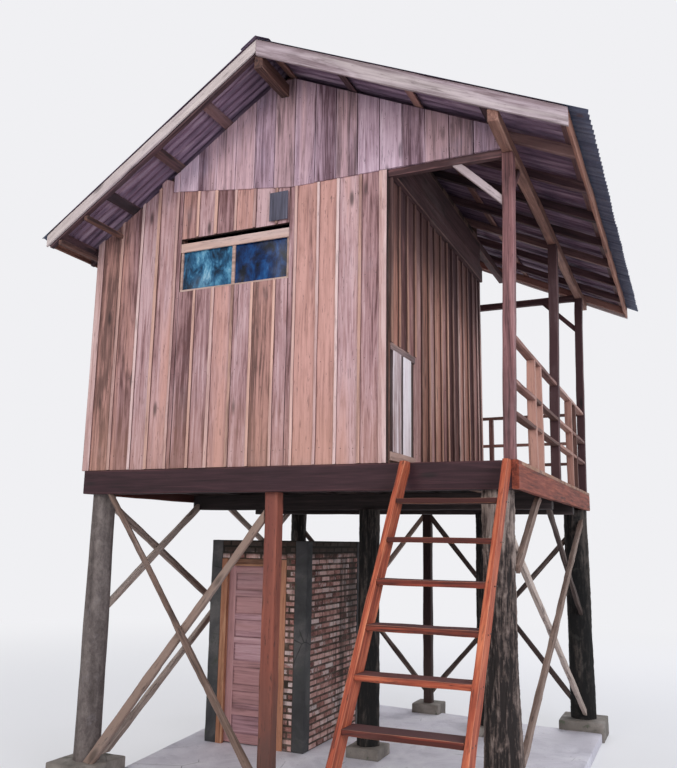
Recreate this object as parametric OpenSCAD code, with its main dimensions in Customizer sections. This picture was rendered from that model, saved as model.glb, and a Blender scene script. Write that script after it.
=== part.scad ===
// Stilt house: a board-walled room on a log-posted deck, with a roofed porch, a ladder and a small
// brick room under it. The origin is on the ground below the middle of the deck's front edge.
// X runs to the right, Y to the back and Z up.

/* [Ground floor] */
// Thickness of the concrete slab
slab_h = 100; // [60:10:200]
// Distance of the slab's front left corner from the deck's left edge
slab_inset = 400; // [300:10:420]
// How much further left the slab's edge is at its widest place than at the front
slab_spread = 270; // [100:10:290]
// Distance of the slab's widest place behind the deck's front edge
slab_wide_y = 2070; // [1600:10:2600]
// How far the slab's back right corner is in front of its back left one
slab_skew = 460; // [0:20:500]
// How far the slab runs past the deck's right edge
slab_past = 70; // [0:10:150]
// How far the slab runs in front of the deck
slab_front = 150; // [50:10:400]
// Height of a footing above the slab
footing_h = 100; // [50:10:150]
// Width of a footing
footing_w = 330; // [300:10:400]
// Width of the footings at the front left and at the back right
corner_footing_w = 480; // [400:10:500]

/* [Deck] */
// Width of the deck across the front
deck_w = 4000; // [3400:50:4800]
// Depth of the deck from front to back
deck_d = 4240; // [3600:40:5000]
// Height of the underside of the deck's front beam above the ground
beam_z = 2500; // [2300:50:3000]
// Depth of the beams round the deck
beam_h = 210; // [160:10:260]
// Thickness of the front and rear beams
beam_t = 120; // [80:10:160]
// Thickness of the boards that close the deck's sides
side_t = 50; // [30:5:80]
// Thickness of the floor boards
floor_t = 28; // [20:1:40]
// Depth of a joist
joist_h = 100; // [80:5:120]
// Width of a joist
joist_w = 60; // [40:5:80]
// Depth of a girder under the joists
girder_h = 160; // [120:10:200]
// Width of a girder
girder_w = 100; // [80:10:140]

/* [Posts] */
// Radius of the smooth log at the front left
smooth_log_r = 108; // [100:2:130]
// Radius of the rough log at the front right
rough_log_r = 122; // [110:2:150]
// Radius of the log at the back right
back_right_r = 135; // [100:5:145]
// Radius of the other logs
log_r = 105; // [90:5:130]
// How many times wider the rough log is at its foot
rough_flare = 1.24; // [1:0.02:1.3]
// How many times wider the other logs are at their feet
flare = 1.04; // [1:0.02:1.2]
// Side of the squared posts
square_post = 120; // [100:5:160]
// Distance of the front posts' front faces behind the deck's front edge
post_setback = 60; // [50:5:80]
// Distance of the front left log's middle from the deck's left edge
smooth_log_in = 118; // [112:2:160]
// Distance of the front right log's middle from the deck's right edge
rough_log_in = 198; // [130:2:220]
// Distance of the front middle post's middle from the deck's left edge
front_mid_in = 1935; // [1600:5:2200]
// Distance of the centre log's middle from the deck's left edge
centre_log_in = 2140; // [1900:10:2300]
// Distance of the centre log's middle behind the deck's front edge
centre_log_y = 1770; // [1500:10:2000]
// Distance of the inner log's middle behind the room
inner_log_back = 70; // [40:10:150]
// Distance of the back left log's middle from the deck's left edge
back_left_in = 220; // [180:10:300]
// Distance of the back right log's middle from the deck's right edge
back_right_in = 145; // [140:5:200]
// Distance of the back post's middle from the deck's left edge
back_mid_in = 2040; // [1700:10:2300]
// Side of the back post
back_post = 105; // [90:5:130]
// Distance of the rear posts' middles in front of the deck's back edge
back_row_in = 230; // [180:10:300]

/* [Braces] */
// Thickness of a brace
brace_t = 42; // [30:1:45]
// Width of a side brace
brace_w = 65; // [50:5:120]
// Width of a rear brace
rear_brace_w = 55; // [45:5:100]
// Width of the front brace that falls from the left
front_fall_w = 50; // [40:5:120]
// Width of the front brace that rises from the left
front_rise_w = 64; // [50:2:160]
// Gap between a brace's end and a post
seat_gap = 0.3; // [0.1:0.1:0.5]
// Falling front brace: height above the beams at the left log, above the footings at the middle post
front_fall = [245, 0]; // [0:5:300]
// Rising front brace: depth below the footings at the left log, below the beams at the middle post
front_rise = [129, 118]; // [0:1:300]
// Left side, falling brace: front end below the beams, rear end above the footings
left_fall = [0, 240]; // [0:10:600]
// Left side, rising brace: front end above the footings, rear end below the beams
left_rise = [-150, -40]; // [-200:10:600]
// Left side, front knee: lower end below the beams, run along the beams
left_knee = [1095, 1636]; // [400:4:1800]
// Left side, rear knee: lower end below the beams, run along the beams
left_rear_knee = [730, 1600]; // [400:10:2000]
// Right side, falling brace: front end below the beams, rear end above the footings
right_fall = [336, 15]; // [0:1:600]
// Right side, rising brace: front end above the footings, rear end below the beams
right_rise = [405, 100]; // [0:5:600]
// Right side, front knee: lower end below the beams, run along the beams
right_knee = [575, 1003]; // [400:1:1800]
// Right side, rear knee: lower end below the beams, run along the beams
right_rear_knee = [1215, 2150]; // [400:5:2400]
// Rear braces: upper end of the falling ones below the beam, lower end above the footings
rear_fall = [20, 60]; // [0:10:300]
// Rear braces: lower end of the rising ones above the footings, upper end below the beam
rear_rise = [90, 200]; // [0:10:300]

/* [Upper room] */
// Width of the room across the front
room_w = 2995; // [2495:50:3195]
// How far the left wall stands out past the deck
wall_past = 20; // [0:2:22]
// Depth of the room
room_d = 3090; // [2600:10:3200]
// Distance of the wall faces behind the beam's face
wall_setback = 30; // [20:5:40]
// Thickness of a wall's boards
board_t = 25; // [18:1:30]
// Width of a stud's face
stud_w = 70; // [50:5:90]
// How far the gable boards come down over the lintel
gable_cover = 20; // [10:5:40]
// How much higher the gable boards' lower edge is at their left end
gable_rise = 165; // [0:5:200]
// Distance of the gable boards' left end from the deck's left edge
gable_from_left = 817; // [700:1:1000]
// Window's width
window_w = 1130; // [800:10:1300]
// Window's height
window_h = 510; // [400:10:600]
// Distance of the window's top below the gable boards
window_below_gable = 325; // [250:5:600]
// Distance of the window's left edge from the room's left edge
window_from_left = 950; // [600:5:1200]
// Width of the upper doorway at the back
upper_door_w = 760; // [700:10:900]
// Height of the upper doorway
upper_door_h = 1850; // [1700:10:1900]
// Distance of the upper doorway from the room's right edge
upper_door_in = 320; // [200:10:400]

/* [Porch] */
// Side of a porch post
porch_post = 88; // [80:2:110]
// Distance of the right posts' feet from the deck's right edge
porch_in = 26; // [10:2:60]
// How far the right posts lean out over their height
porch_lean = 50; // [0:5:70]
// Distance of the front post's front face behind the deck's front edge
porch_post_y = 10; // [0:5:30]
// Distance of the middle post's middle behind the deck's front edge
porch_mid_y = 2188; // [1800:4:2600]
// How far the lintel's and the tie beam's undersides are below the porch plate's
tie_drop = 22; // [20:1:60]
// Depth of the lintel and the tie beam
tie_h = 80; // [60:5:120]
// Height of the handrail's top above the deck's top
handrail = 970; // [850:10:1100]
// Width of a rail, which lies flat
rail_w = 70; // [50:5:70]
// Thickness of a rail
rail_t = 32; // [25:1:45]
// Distance of the side rails' inner faces from the posts' inner faces at their feet
rail_in = 25; // [20:1:25]
// Heights of the two lower rails' tops above the deck's top
low_rails = [620, 370]; // [200:10:800]
// Distances of the side railing's uprights behind the deck's front edge
side_uprights = [905, 1190, 3075, 3400]; // [200:5:4000]
// Distances of the rear railing's uprights from the deck's left edge
rear_uprights = [985, 2815]; // [200:5:3700]
// Thickness of an upright of a railing
upright_t = 50; // [40:5:90]

/* [Roof] */
// Height of the ridge above the deck's top
ridge_rise = 3600; // [3400:10:4000]
// Distance of the ridge from the deck's left edge
ridge_from_left = 1975; // [1800:5:2200]
// Pitch of the left slope in degrees
left_pitch = 34; // [30:0.5:38]
// Pitch of the right slope in degrees
right_pitch = 25.2; // [22:0.2:27]
// How far the left slope runs past the deck
left_eave = 190; // [120:10:300]
// How far the right slope runs past the deck
right_eave = 516; // [300:4:600]
// How far the roof runs past the deck at the front and at the back
gable_eave = 520; // [300:10:600]
// Depth of a rafter
rafter_h = 80; // [60:5:100]
// Thickness of a rafter
rafter_t = 50; // [40:5:60]
// Thickness of a purlin
purlin_t = 25; // [20:1:30]
// Width of a purlin
purlin_w = 70; // [50:5:90]
// Depth of the boards along the right slope's gables and eave
barge_h = 135; // [110:5:160]
// Depth of the boards along the left slope's gables and eave
left_barge_h = 90; // [80:5:160]
// Thickness of the boards along the gables and the eaves
barge_t = 25; // [20:1:30]
// Distances of the battens under the left eave from the deck's left edge
eave_battens = [213, -72]; // [-80:1:300]
// Side of a batten under the left eave
eave_batten = 45; // [30:5:50]
// Thickness of the roof sheets
sheet_t = 3; // [2:1:6]
// Distance from one wave of a sheet to the next
wave_pitch = 76; // [60:2:130]
// Height of a wave
wave_h = 17; // [10:1:25]
// Width of the ridge cap's flanges along the ground
cap_w = 140; // [100:10:200]
// How far the sheets run past the eave board on the right
sheet_past = 130; // [50:10:200]
// How far the sheets run past the eave board on the left
left_past = 40; // [20:5:80]
// How far the sheets run past the bargeboards
sheet_lip = 15; // [5:5:40]

/* [Ladder] */
// Width of the ladder over its stringers
ladder_w = 816; // [700:4:900]
// Distance of the ladder's right side from the deck's right edge
ladder_in = 52; // [50:2:100]
// Lean of the ladder from upright in degrees
ladder_lean = 34.2; // [25:0.2:38]
// Thickness of a stringer
stringer_t = 40; // [30:5:50]
// Depth of a stringer, square to its length
stringer_w = 140; // [110:5:180]
// Distance of the top tread below the deck's top
first_tread = 288; // [220:4:300]
// Distance from one tread to the next
tread_step = 277; // [220:1:300]
// Thickness of a tread
tread_t = 38; // [30:1:45]
// Depth of a tread from front to back
tread_d = 180; // [150:5:200]

/* [Brick room] */
// Distance of the brick room's left side from the deck's left edge
brick_from_left = 450; // [400:10:600]
// Distance of the brick room's front behind the deck's front edge
brick_setback = 1530; // [1300:10:1600]
// Width of the brick room
brick_w = 1116; // [1080:4:1300]
// Depth of the brick room
brick_d = 1450; // [1300:10:1500]
// Height of the brick room's walls
brick_h = 2000; // [1900:10:2100]
// Side of a concrete column
column = 130; // [110:5:140]
// Thickness of a brick wall
brick_t = 110; // [100:5:110]
// Width of the door's frame over its jambs
frame_w = 756; // [700:2:760]
// Height of the door's frame
frame_h = 1810; // [1750:10:1850]
// Face width of a jamb
jamb = 50; // [40:5:60]
// Thickness of the door's leaf
leaf_t = 38; // [30:1:45]
// Clearance round the moving leaf
leaf_gap = 8; // [7:1:10]
// Radius of a hinge pin
pin_r = 5; // [4:0.5:6]
// Radial clearance of a hinge pin
pin_play = 0.05; // [0.02:0.01:0.1]

/* [Hidden] */
$fn = 48;
left = -deck_w / 2;
right = deck_w / 2;
back = deck_d;
deck_z = beam_z + beam_h;
floor_z = deck_z - floor_t;
joist_z = floor_z - joist_h;
girder_z = joist_z - girder_h;
joist_count = 8;
rafter_count = 9;
purlin_count = 5;
window_drop = 45;
window_in = 6;
window_t = 34;
glass_in = 20;
glass_t = 5;
sash = 22;
sash_top = 48;
mullion = 30;

// Roof planes, with a hair of room between the sheets, purlins and rafters
lay_gap = 0.1;
ridge_x = left + ridge_from_left;
ridge_z = deck_z + ridge_rise;
eave_l = left - left_eave;
eave_r = right + right_eave;
roof_y0 = -gable_eave;
roof_y1 = back + gable_eave;
function slope(x) = x < ridge_x ? tan(left_pitch) : tan(right_pitch);
function level(x) = x < ridge_x ? cos(left_pitch) : cos(right_pitch);
function roof_z(x) = ridge_z - slope(x) * abs(x - ridge_x);
function under_purlins(x) = roof_z(x) - purlin_t / level(x);
function under_rafters(x) = roof_z(x) - stack(x);
function stack(x) = (purlin_t + rafter_h + 2 * lay_gap) / level(x);

// The right posts' left faces at their feet and at a height, and the rear posts' front faces
porch_x = right - porch_in - porch_post;
porch_end_y = back - porch_post;
function post_x(z) = porch_x + porch_lean * (z - deck_z) / (porch_plate_z - deck_z);

// Sheets: how much of a wave is flat at its crest, how far they stop from the ridge, and the cap's thickness
wave_flat = 0.2;
ridge_gap = 20;
cap_t = 3;

// Room
room_x0 = left - wall_past;
room_x1 = room_x0 + room_w;
wall_y0 = wall_setback;
gable_y0 = wall_y0 - board_t;
stud_y0 = wall_y0 + board_t;
stud_y1 = room_d - board_t;
window_x0 = room_x0 + window_from_left;
upper_door_x0 = room_x1 - upper_door_in - upper_door_w;

// Plates that carry the rafters
plate_w = 80;
plate_h = 100;
plate_play = 2;
mitre_gap = 1;
left_plate_x = room_x0 + board_t;
left_plate_z = under_rafters(left_plate_x) - plate_h;
mid_plate_x = room_x1 - board_t - plate_w;
mid_plate_z = under_rafters(mid_plate_x + plate_w) - plate_h;
porch_plate_x = porch_x + porch_lean + (porch_post - plate_w) / 2;
porch_plate_z = under_rafters(porch_plate_x + plate_w) - plate_h;
ridge_beam_h = 120;
ridge_beam_x = ridge_x - (tan(right_pitch) * plate_w - stack(left) + stack(right))
  / (tan(left_pitch) + tan(right_pitch));
ridge_beam_z = under_rafters(ridge_beam_x) - ridge_beam_h;

// Lintel, tie beams and what hangs from them
tie_z = porch_plate_z - tie_drop;
tie_t = 60;
tie_y = back - tie_t;
tie_clear = 5;
function under_left(z) = ridge_x - (ridge_z - stack(left) - z - tie_clear) / slope(left);
tie_x0 = max(left_plate_x + plate_w, under_left(tie_z + tie_h));
gable_x0 = left + gable_from_left;
gable_x1 = porch_plate_x - tie_clear;
gable_z = tie_z + tie_h - gable_cover;
gable_lap = 60;
gable_bend_x = window_x0 + window_w;
patch_t = 20;
girt_z = gable_z - stud_w - tie_clear;
girt_x0 = max(left_plate_x + plate_w, under_left(girt_z + stud_w));
ledger_rise = 5;
ledger_z = tie_z + ledger_rise;
ledger_h = 185;
ledger_t = 60;
upper_ledger_h = 320;
upper_ledger_t = 35;
knee_run = 400;
plate_knee = 330;
knee_w = 55;
knee_t = 45;
knee_in = 5;
window_z0 = gable_z - window_below_gable - window_h;
plate_y0 = roof_y0 + barge_t;
plate_y1 = roof_y1 - barge_t;

// Posts under the deck: [x, y]
fl_log = [left + smooth_log_in, post_setback + smooth_log_r];
fr_log = [right - rough_log_in, post_setback + rough_log_r];
front_mid = [left + front_mid_in, post_setback + square_post / 2];
centre_log = [left + centre_log_in, centre_log_y];
inner_log = [room_x1, room_d + inner_log_back];
back_left_log = [left + back_left_in, back - back_row_in];
back_right_log = [right - back_right_in, back - back_row_in];
back_mid = [left + back_mid_in, back - back_row_in];
layer_gap = 0.2;
slab_back = back - 20;
slab_top = slab_h;
slab_gap = 0.5;
footing_z = slab_h + footing_h;

// Brick room
brick_x0 = left + brick_from_left;
brick_x1 = brick_x0 + brick_w;
brick_y0 = brick_setback;
brick_y1 = brick_y0 + brick_d;
brick_top = slab_top + brick_h;
frame_x0 = brick_x0 + column;
frame_x1 = frame_x0 + frame_w;
leaf_x0 = frame_x0 + jamb + leaf_gap;
leaf_x1 = frame_x1 - jamb - leaf_gap;
leaf_in = 45;
leaf_y0 = brick_y0 + leaf_in;
leaf_y1 = leaf_y0 + leaf_t;
leaf_floor_gap = 12;
leaf_z0 = slab_top + leaf_floor_gap;
leaf_z1 = slab_top + frame_h - jamb - leaf_gap;
knuckle_wall = 4;
hinge_r = pin_r + knuckle_wall;
hinge_off = 0.5;
hinge_x = frame_x0 + jamb + leaf_gap / 2;
hinge_y = leaf_y1 + hinge_r + hinge_off;
hinge_h = 100;
flap_t = 3;
flap_w = 44;
hinge_in = 180;
leaf_stile = 90;
leaf_end = 85;
leaf_rail = 55;
panel_count = 7;
panel_sink = 10;
hinge_zs = [leaf_z0 + hinge_in, leaf_z1 - hinge_in - hinge_h];
front_in = 5;

// Ladder
lean = tan(ladder_lean);
ladder_x1 = right - ladder_in;
ladder_x0 = ladder_x1 - ladder_w;
ladder_run = stringer_w / cos(ladder_lean);
ladder_seat = 70;
tread_count = floor((deck_z - first_tread - slab_h) / tread_step) + 1;
function ladder_back(z) = -(deck_z - ladder_seat - z) * lean;

left_plate_at = [left_plate_x, left_plate_z, plate_h];
mid_plate_at = [mid_plate_x, mid_plate_z, plate_h];
ridge_beam_at = [ridge_beam_x, ridge_beam_z, ridge_beam_h];

// An outline in X and Z made solid from y to y + t
module upright(y, t) {
  translate([0, y + t, 0]) rotate([90, 0, 0]) linear_extrude(t) children();
}

// An outline in Y and Z made solid from x to x + t
module sideways(x, t) {
  translate([x, 0, 0]) rotate([90, 0, 90]) linear_extrude(t) children();
}

// A box between two corners
module block(low, high) {
  translate(low) cube(high - low);
}

// A flat bar of width w between the points p and q of an outline
module bar(p, q, w) {
  d = q - p;
  n = [-d[1], d[0]] / norm(d) * w / 2;
  polygon([p - n, q - n, q + n, p + n]);
}

// A bar that follows the roof from x a to x b, from top to top + h below the roof plane
module slope_bar(a, b, top, h) {
  mid = (a + b) / 2;
  t = top / level(mid);
  d = h / level(mid);
  polygon([[a, at(a, mid) - t], [b, at(b, mid) - t], [b, at(b, mid) - t - d], [a, at(a, mid) - t - d]]);
}

// Height of the roof plane that holds side, at x
function at(x, side) = ridge_z + (side < ridge_x ? 1 : -1) * slope(side) * (x - ridge_x);

// A log from z0 to z1 with a foot that is wide times wider and a little taper
module log(p, r, z0, z1, wide) {
  h = z1 - z0;
  foot = r * (wide - 1);
  translate([p[0], p[1], z0]) rotate_extrude()
    polygon([[0, 0], [r + foot, 0], [r + foot * 0.8, 300], [r + foot * 0.2, 700], [r * 0.98, h / 2],
      [r * 0.94, h], [0, h]]);
}

// All the logs, each wider by gap, that the braces are cut to
module log_seats(gap) {
  log(fl_log, smooth_log_r + gap, footing_z, beam_z, flare);
  log(fr_log, rough_log_r + gap, footing_z, beam_z, rough_flare);
  log(back_left_log, log_r + gap, footing_z, beam_z, flare);
  log(back_right_log, back_right_r + gap, footing_z, beam_z, flare);
}

module slab() {
  x0 = left + slab_inset;
  x1 = right + slab_past;
  color("lightgray") difference() {
    linear_extrude(slab_h) polygon([[x0, -slab_front], [x1, -slab_front], [x1, slab_back - slab_skew],
      [x0 - slab_spread, slab_back], [x0 - slab_spread, slab_wide_y]]);
    ground_footings(slab_gap, -1);
  }
}

// A footing of width w at p, from z0 up, wider by gap
module footing(p, w, z0, gap) {
  half = [w / 2 + gap, w / 2 + gap];
  block(concat(p - half, z0), concat(p + half, footing_z));
}

// The footings that go down beside the slab's edges
module ground_footings(gap, z0) {
  for (p = [fl_log, back_right_log]) footing(p, corner_footing_w, z0, gap);
  for (p = [back_mid, back_left_log]) footing(p, footing_w, z0, gap);
}

module footings() {
  color("darkgray") {
    ground_footings(0, 0);
    for (p = [fr_log, front_mid, centre_log, inner_log]) footing(p, footing_w, slab_h, 0);
  }
}

module front_left_log() {
  color("rosybrown") log(fl_log, smooth_log_r, footing_z, beam_z, flare);
}

module front_right_log() {
  color("dimgray") log(fr_log, rough_log_r, footing_z, beam_z, rough_flare);
}

module rear_logs() {
  color("dimgray") {
    for (p = [centre_log, inner_log]) log(p, log_r, footing_z, girder_z, flare);
    log(back_left_log, log_r, footing_z, beam_z, flare);
    log(back_right_log, back_right_r, footing_z, beam_z, flare);
  }
}

module squared_post(p, side, z1) {
  chamfer = side / 10;
  translate([p[0], p[1], footing_z]) linear_extrude(z1 - footing_z)
    polygon([for (a = [0:3]) each [
      [cos(a * 90) * side / 2 - sin(a * 90) * (side / 2 - chamfer),
       sin(a * 90) * side / 2 + cos(a * 90) * (side / 2 - chamfer)],
      [cos(a * 90) * (side / 2 - chamfer) - sin(a * 90) * side / 2,
       sin(a * 90) * (side / 2 - chamfer) + cos(a * 90) * side / 2]]]);
}

module squared_posts() {
  color("sienna") {
    squared_post(front_mid, square_post, beam_z);
    squared_post(back_mid, back_post, beam_z);
  }
}

module front_beam() {
  color([0.25, 0.12, 0.15]) block([left, 0, beam_z], [right - side_t, beam_t, deck_z]);
}

// The two girders under the joists, each wider and deeper by gap
module girders(gap) {
  for (y = [centre_log[1], inner_log[1]])
    block([left + side_t, y - girder_w / 2 - gap, girder_z - gap],
      [right - side_t, y + girder_w / 2 + gap, joist_z]);
}

module cross_beams() {
  color([0.3, 0.2, 0.18]) {
    block([left + side_t, back - beam_t, beam_z], [right - side_t, back, floor_z]);
    girders(0);
  }
}

module side_beams() {
  color("peru") {
    block([left, beam_t, beam_z], [left + side_t, back, floor_z]);
    block([right - side_t, 0, beam_z], [right, beam_t, deck_z]);
    block([right - side_t, beam_t, beam_z], [right, back, floor_z]);
  }
}

module joists() {
  gap = (deck_w - 2 * side_t - joist_w) / (joist_count - 1);
  color("saddlebrown") for (i = [0:joist_count - 1])
    translate([left + side_t + i * gap, 0, 0])
      block([0, beam_t, joist_z], [joist_w, back - beam_t, floor_z]);
}

module floor_boards() {
  color("burlywood") block([left, beam_t, floor_z], [right, back, deck_z]);
}

module front_braces() {
  z0 = footing_z + seat_gap;
  room = [front_mid[0] - square_post / 2 - seat_gap - left, beam_z - z0];
  color("tan") difference() {
    union() {
      upright(post_setback - seat_gap - brace_t, brace_t) intersection() {
        bar([fl_log[0], beam_z + front_fall[0]], [front_mid[0], footing_z + front_fall[1]], front_fall_w);
        translate([left, z0]) square([front_mid[0] - left, room[1]]);
      }
      upright(post_setback, brace_t) intersection() {
        bar([fl_log[0], footing_z - front_rise[0]], [front_mid[0], beam_z - front_rise[1]], front_rise_w);
        translate([left, z0]) square(room);
      }
    }
    log_seats(seat_gap);
  }
}

// The braces of one side, in two layers from x, so that each is a bar of its own
module side_set(front_log, rear_log, x, fall, rise, knee, rear_knee) {
  y0 = front_log[1];
  y1 = rear_log[1];
  difference() {
    intersection() {
      block([left, y0, footing_z + seat_gap], [right, y1, beam_z]);
      union() {
        sideways(x, brace_t) {
          bar([y0, beam_z - fall[0]], [y1, footing_z + fall[1]], brace_w);
          bar([y1, beam_z - rear_knee[0]], [y1 - rear_knee[1], beam_z], brace_w);
        }
        sideways(x + brace_t + layer_gap, brace_t) {
          bar([y0, footing_z + rise[0]], [y1, beam_z - rise[1]], brace_w);
          bar([y0, beam_z - knee[0]], [y0 + knee[1], beam_z], brace_w);
        }
      }
    }
    log_seats(seat_gap);
    girders(seat_gap);
  }
}

module side_braces() {
  color("tan") {
    side_set(fl_log, back_left_log, left + side_t, left_fall, left_rise, left_knee, left_rear_knee);
    side_set(fr_log, back_right_log, right - side_t - 2 * brace_t, right_fall, right_rise, right_knee,
      right_rear_knee);
  }
}

module rear_braces() {
  y = back_mid[1];
  color("tan") difference() {
    union() {
      for (end = [back_left_log, back_right_log]) {
        side = end[0] > back_mid[0] ? 1 : -1;
        face = back_mid[0] + side * back_post / 2;
        upright(y - brace_t, brace_t) intersection() {
          bar([back_mid[0], beam_z - rear_fall[0]], [end[0], footing_z + rear_fall[1]], rear_brace_w);
          translate([side > 0 ? face : left, 0]) square([side > 0 ? right - face : face - left, beam_z]);
        }
        upright(y + layer_gap, brace_t) intersection() {
          bar([back_mid[0], footing_z + rear_rise[0]], [end[0], beam_z - rear_rise[1]], rear_brace_w);
          translate([side > 0 ? face : left, 0]) square([side > 0 ? right - face : face - left, beam_z]);
        }
      }
    }
    log_seats(seat_gap);
  }
}

module stud(x, y, z1) {
  block([x, y, deck_z], [x + stud_w, y + stud_w, z1]);
}

module studs() {
  x0 = room_x0 + board_t;
  x1 = room_x1 - board_t - stud_w;
  y1 = stud_y1 - stud_w;
  color("burlywood") {
    for (y = [stud_y0, (stud_y0 + y1) / 2, y1]) {
      stud(x0, y, left_plate_z);
      stud(x1, y, mid_plate_z);
    }
    for (x = [window_x0 - stud_w, window_x0 + window_w]) stud(x, stud_y0, girt_z);
    for (x = [upper_door_x0 - stud_w, upper_door_x0 + upper_door_w]) stud(x, y1, girt_z);
    for (y = [stud_y0, y1])
      block([ridge_x - stud_w / 2, y, girt_z + stud_w], [ridge_x + stud_w / 2, y + stud_w, ridge_beam_z]);
    block([ridge_x - stud_w / 2, tie_y, tie_z + tie_h],
      [ridge_x + stud_w / 2, tie_y + stud_w, ridge_beam_z]);
  }
}

// Holes for what passes through an end wall, with a little room
module plate_holes(beams) {
  for (b = beams)
    translate([b[0] - plate_play, b[1] - plate_play])
      square([plate_w + 2 * plate_play, b[2] + 2 * plate_play]);
}

// An end wall's outline from x a to b, up to the purlins
module gable_outline(a, b, z0) {
  peak = a < ridge_x && b > ridge_x ? [[ridge_x, under_purlins(ridge_x - 0.01)]] : [];
  polygon(concat([[a, z0], [a, under_purlins(a)]], peak, [[b, under_purlins(b)], [b, z0]]));
}

module front_wall() {
  color("rosybrown") upright(wall_y0, board_t) difference() {
    gable_outline(room_x0, room_x1, deck_z);
    polygon([[gable_x0, gable_z + gable_rise + gable_lap], [gable_bend_x, gable_z + gable_lap],
      [gable_x1, gable_z + gable_lap], [gable_x1, ridge_z], [gable_x0, ridge_z]]);
    translate([window_x0, window_z0]) square([window_w, window_h]);
    plate_holes([ridge_beam_at]);
  }
}

module gable_boards() {
  color("thistle") upright(gable_y0, board_t) difference() {
    gable_outline(gable_x0, gable_x1, gable_z);
    polygon([[gable_x0 - 1, gable_z - 1], [gable_bend_x, gable_z], [gable_x0 - 1, gable_z + gable_rise]]);
    plate_holes([ridge_beam_at]);
  }
}

module left_wall() {
  color("rosybrown")
    block([room_x0, stud_y0, deck_z], [room_x0 + board_t, stud_y1, under_rafters(room_x0)]);
}

module porch_wall() {
  color("brown")
    block([room_x1 - board_t, stud_y0, deck_z], [room_x1, stud_y1, under_rafters(room_x1)]);
}

module rear_wall() {
  color("rosybrown") upright(stud_y1, board_t) difference() {
    gable_outline(room_x0, room_x1, deck_z);
    translate([upper_door_x0, deck_z - 1]) square([upper_door_w, upper_door_h + 1]);
    plate_holes([left_plate_at, mid_plate_at, ridge_beam_at]);
  }
}

// Two boards between a sill and a cap, nailed over the lower part of the porch wall
module wall_patch() {
  y0 = stud_y0 + 15;
  run = 600;
  sill = [30, 70];
  cap = [925, 60];
  board = 195;
  board_at = [45, 300];
  color("wheat") sideways(room_x1, patch_t) {
    for (r = [sill, cap]) translate([y0, deck_z + r[0]]) square([run, r[1]]);
    for (y = board_at)
      translate([y0 + y, deck_z + sill[0] + sill[1]]) square([board, cap[0] - sill[0] - sill[1]]);
  }
}

module window_outline() {
  translate([window_x0, window_z0]) square([window_w, window_h - window_drop]);
}

module pane_outlines() {
  w = (window_w - 2 * sash - mullion) / 2;
  for (i = [0, 1])
    translate([window_x0 + sash + i * (w + mullion), window_z0 + sash])
      square([w, window_h - window_drop - sash - sash_top]);
}

module window_frame() {
  color("tan") upright(wall_y0 + window_in, window_t) difference() {
    window_outline();
    pane_outlines();
  }
}

module window_glass() {
  color("steelblue") upright(wall_y0 + glass_in, glass_t) pane_outlines();
}

module upper_door() {
  lap = 25;
  t = 30;
  color("peru") block([upper_door_x0 - lap, room_d, deck_z],
    [upper_door_x0 + upper_door_w + lap, room_d + t, deck_z + upper_door_h + lap]);
}

module porch_posts() {
  color("sienna") {
    for (y = [porch_post_y, porch_mid_y - porch_post / 2, porch_end_y]) upright(y, porch_post)
      polygon([[porch_x, deck_z], [porch_x + porch_post, deck_z],
        [porch_x + porch_lean + porch_post, porch_plate_z], [porch_x + porch_lean, porch_plate_z]]);
    block([left, porch_end_y, deck_z], [left + porch_post, back, left_plate_z]);
    block([ridge_x - porch_post / 2, porch_end_y, deck_z], [ridge_x + porch_post / 2, back, tie_z]);
  }
}

// The beams and battens under the rafters, the ledgers on the porch wall and the girts in the end walls
module plates() {
  color("sienna") {
    block([ridge_beam_x, plate_y0, ridge_beam_z],
      [ridge_beam_x + plate_w, plate_y1, ridge_beam_z + ridge_beam_h]);
    block([left_plate_x, stud_y0, left_plate_z], [left_plate_x + plate_w, plate_y1, left_plate_z + plate_h]);
    for (i = [0, 1]) {
      x = left + eave_battens[i];
      block([x, plate_y0, under_rafters(x) - eave_batten],
        [x + eave_batten, i == 0 ? wall_y0 : plate_y1, under_rafters(x)]);
    }
    block([mid_plate_x, stud_y0, mid_plate_z], [mid_plate_x + plate_w, plate_y1, mid_plate_z + plate_h]);
    block([porch_plate_x, plate_y0, porch_plate_z],
      [porch_plate_x + plate_w, plate_y1, porch_plate_z + plate_h]);
    block([room_x1, wall_y0 + tie_t, ledger_z], [room_x1 + ledger_t, stud_y1, ledger_z + ledger_h]);
    translate([0, 0, ledger_z + ledger_h + layer_gap])
      block([room_x1, wall_y0 + tie_t, 0], [room_x1 + upper_ledger_t, stud_y1, upper_ledger_h]);
    for (y = [stud_y0, stud_y1 - stud_w])
      block([girt_x0, y, girt_z], [room_x1 - board_t - stud_w, y + stud_w, girt_z + stud_w]);
  }
}

module porch_ties() {
  seat = post_x(tie_z - knee_run) - seat_gap;
  color("sienna") {
    upright(wall_y0, tie_t) to_post(room_x1, tie_z, tie_h);
    upright(tie_y, tie_t) to_post(tie_x0, tie_z, tie_h);
    for (y = [wall_y0, tie_y]) upright(y + knee_in, knee_t)
      bar_between([seat - knee_run, tie_z - layer_gap], [seat, tie_z - knee_run], knee_w);
    sideways(porch_plate_x + (plate_w - knee_t) / 2, knee_t)
      bar_between([porch_post_y + porch_post + plate_knee, porch_plate_z],
        [porch_post_y + porch_post, porch_plate_z - plate_knee], knee_w);
  }
}

// A level bar from x to the leaning posts, with its underside at z
module to_post(x, z, h) {
  polygon([[x, z], [post_x(z) - seat_gap, z], [post_x(z + h) - seat_gap, z + h], [x, z + h]]);
}

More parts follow.
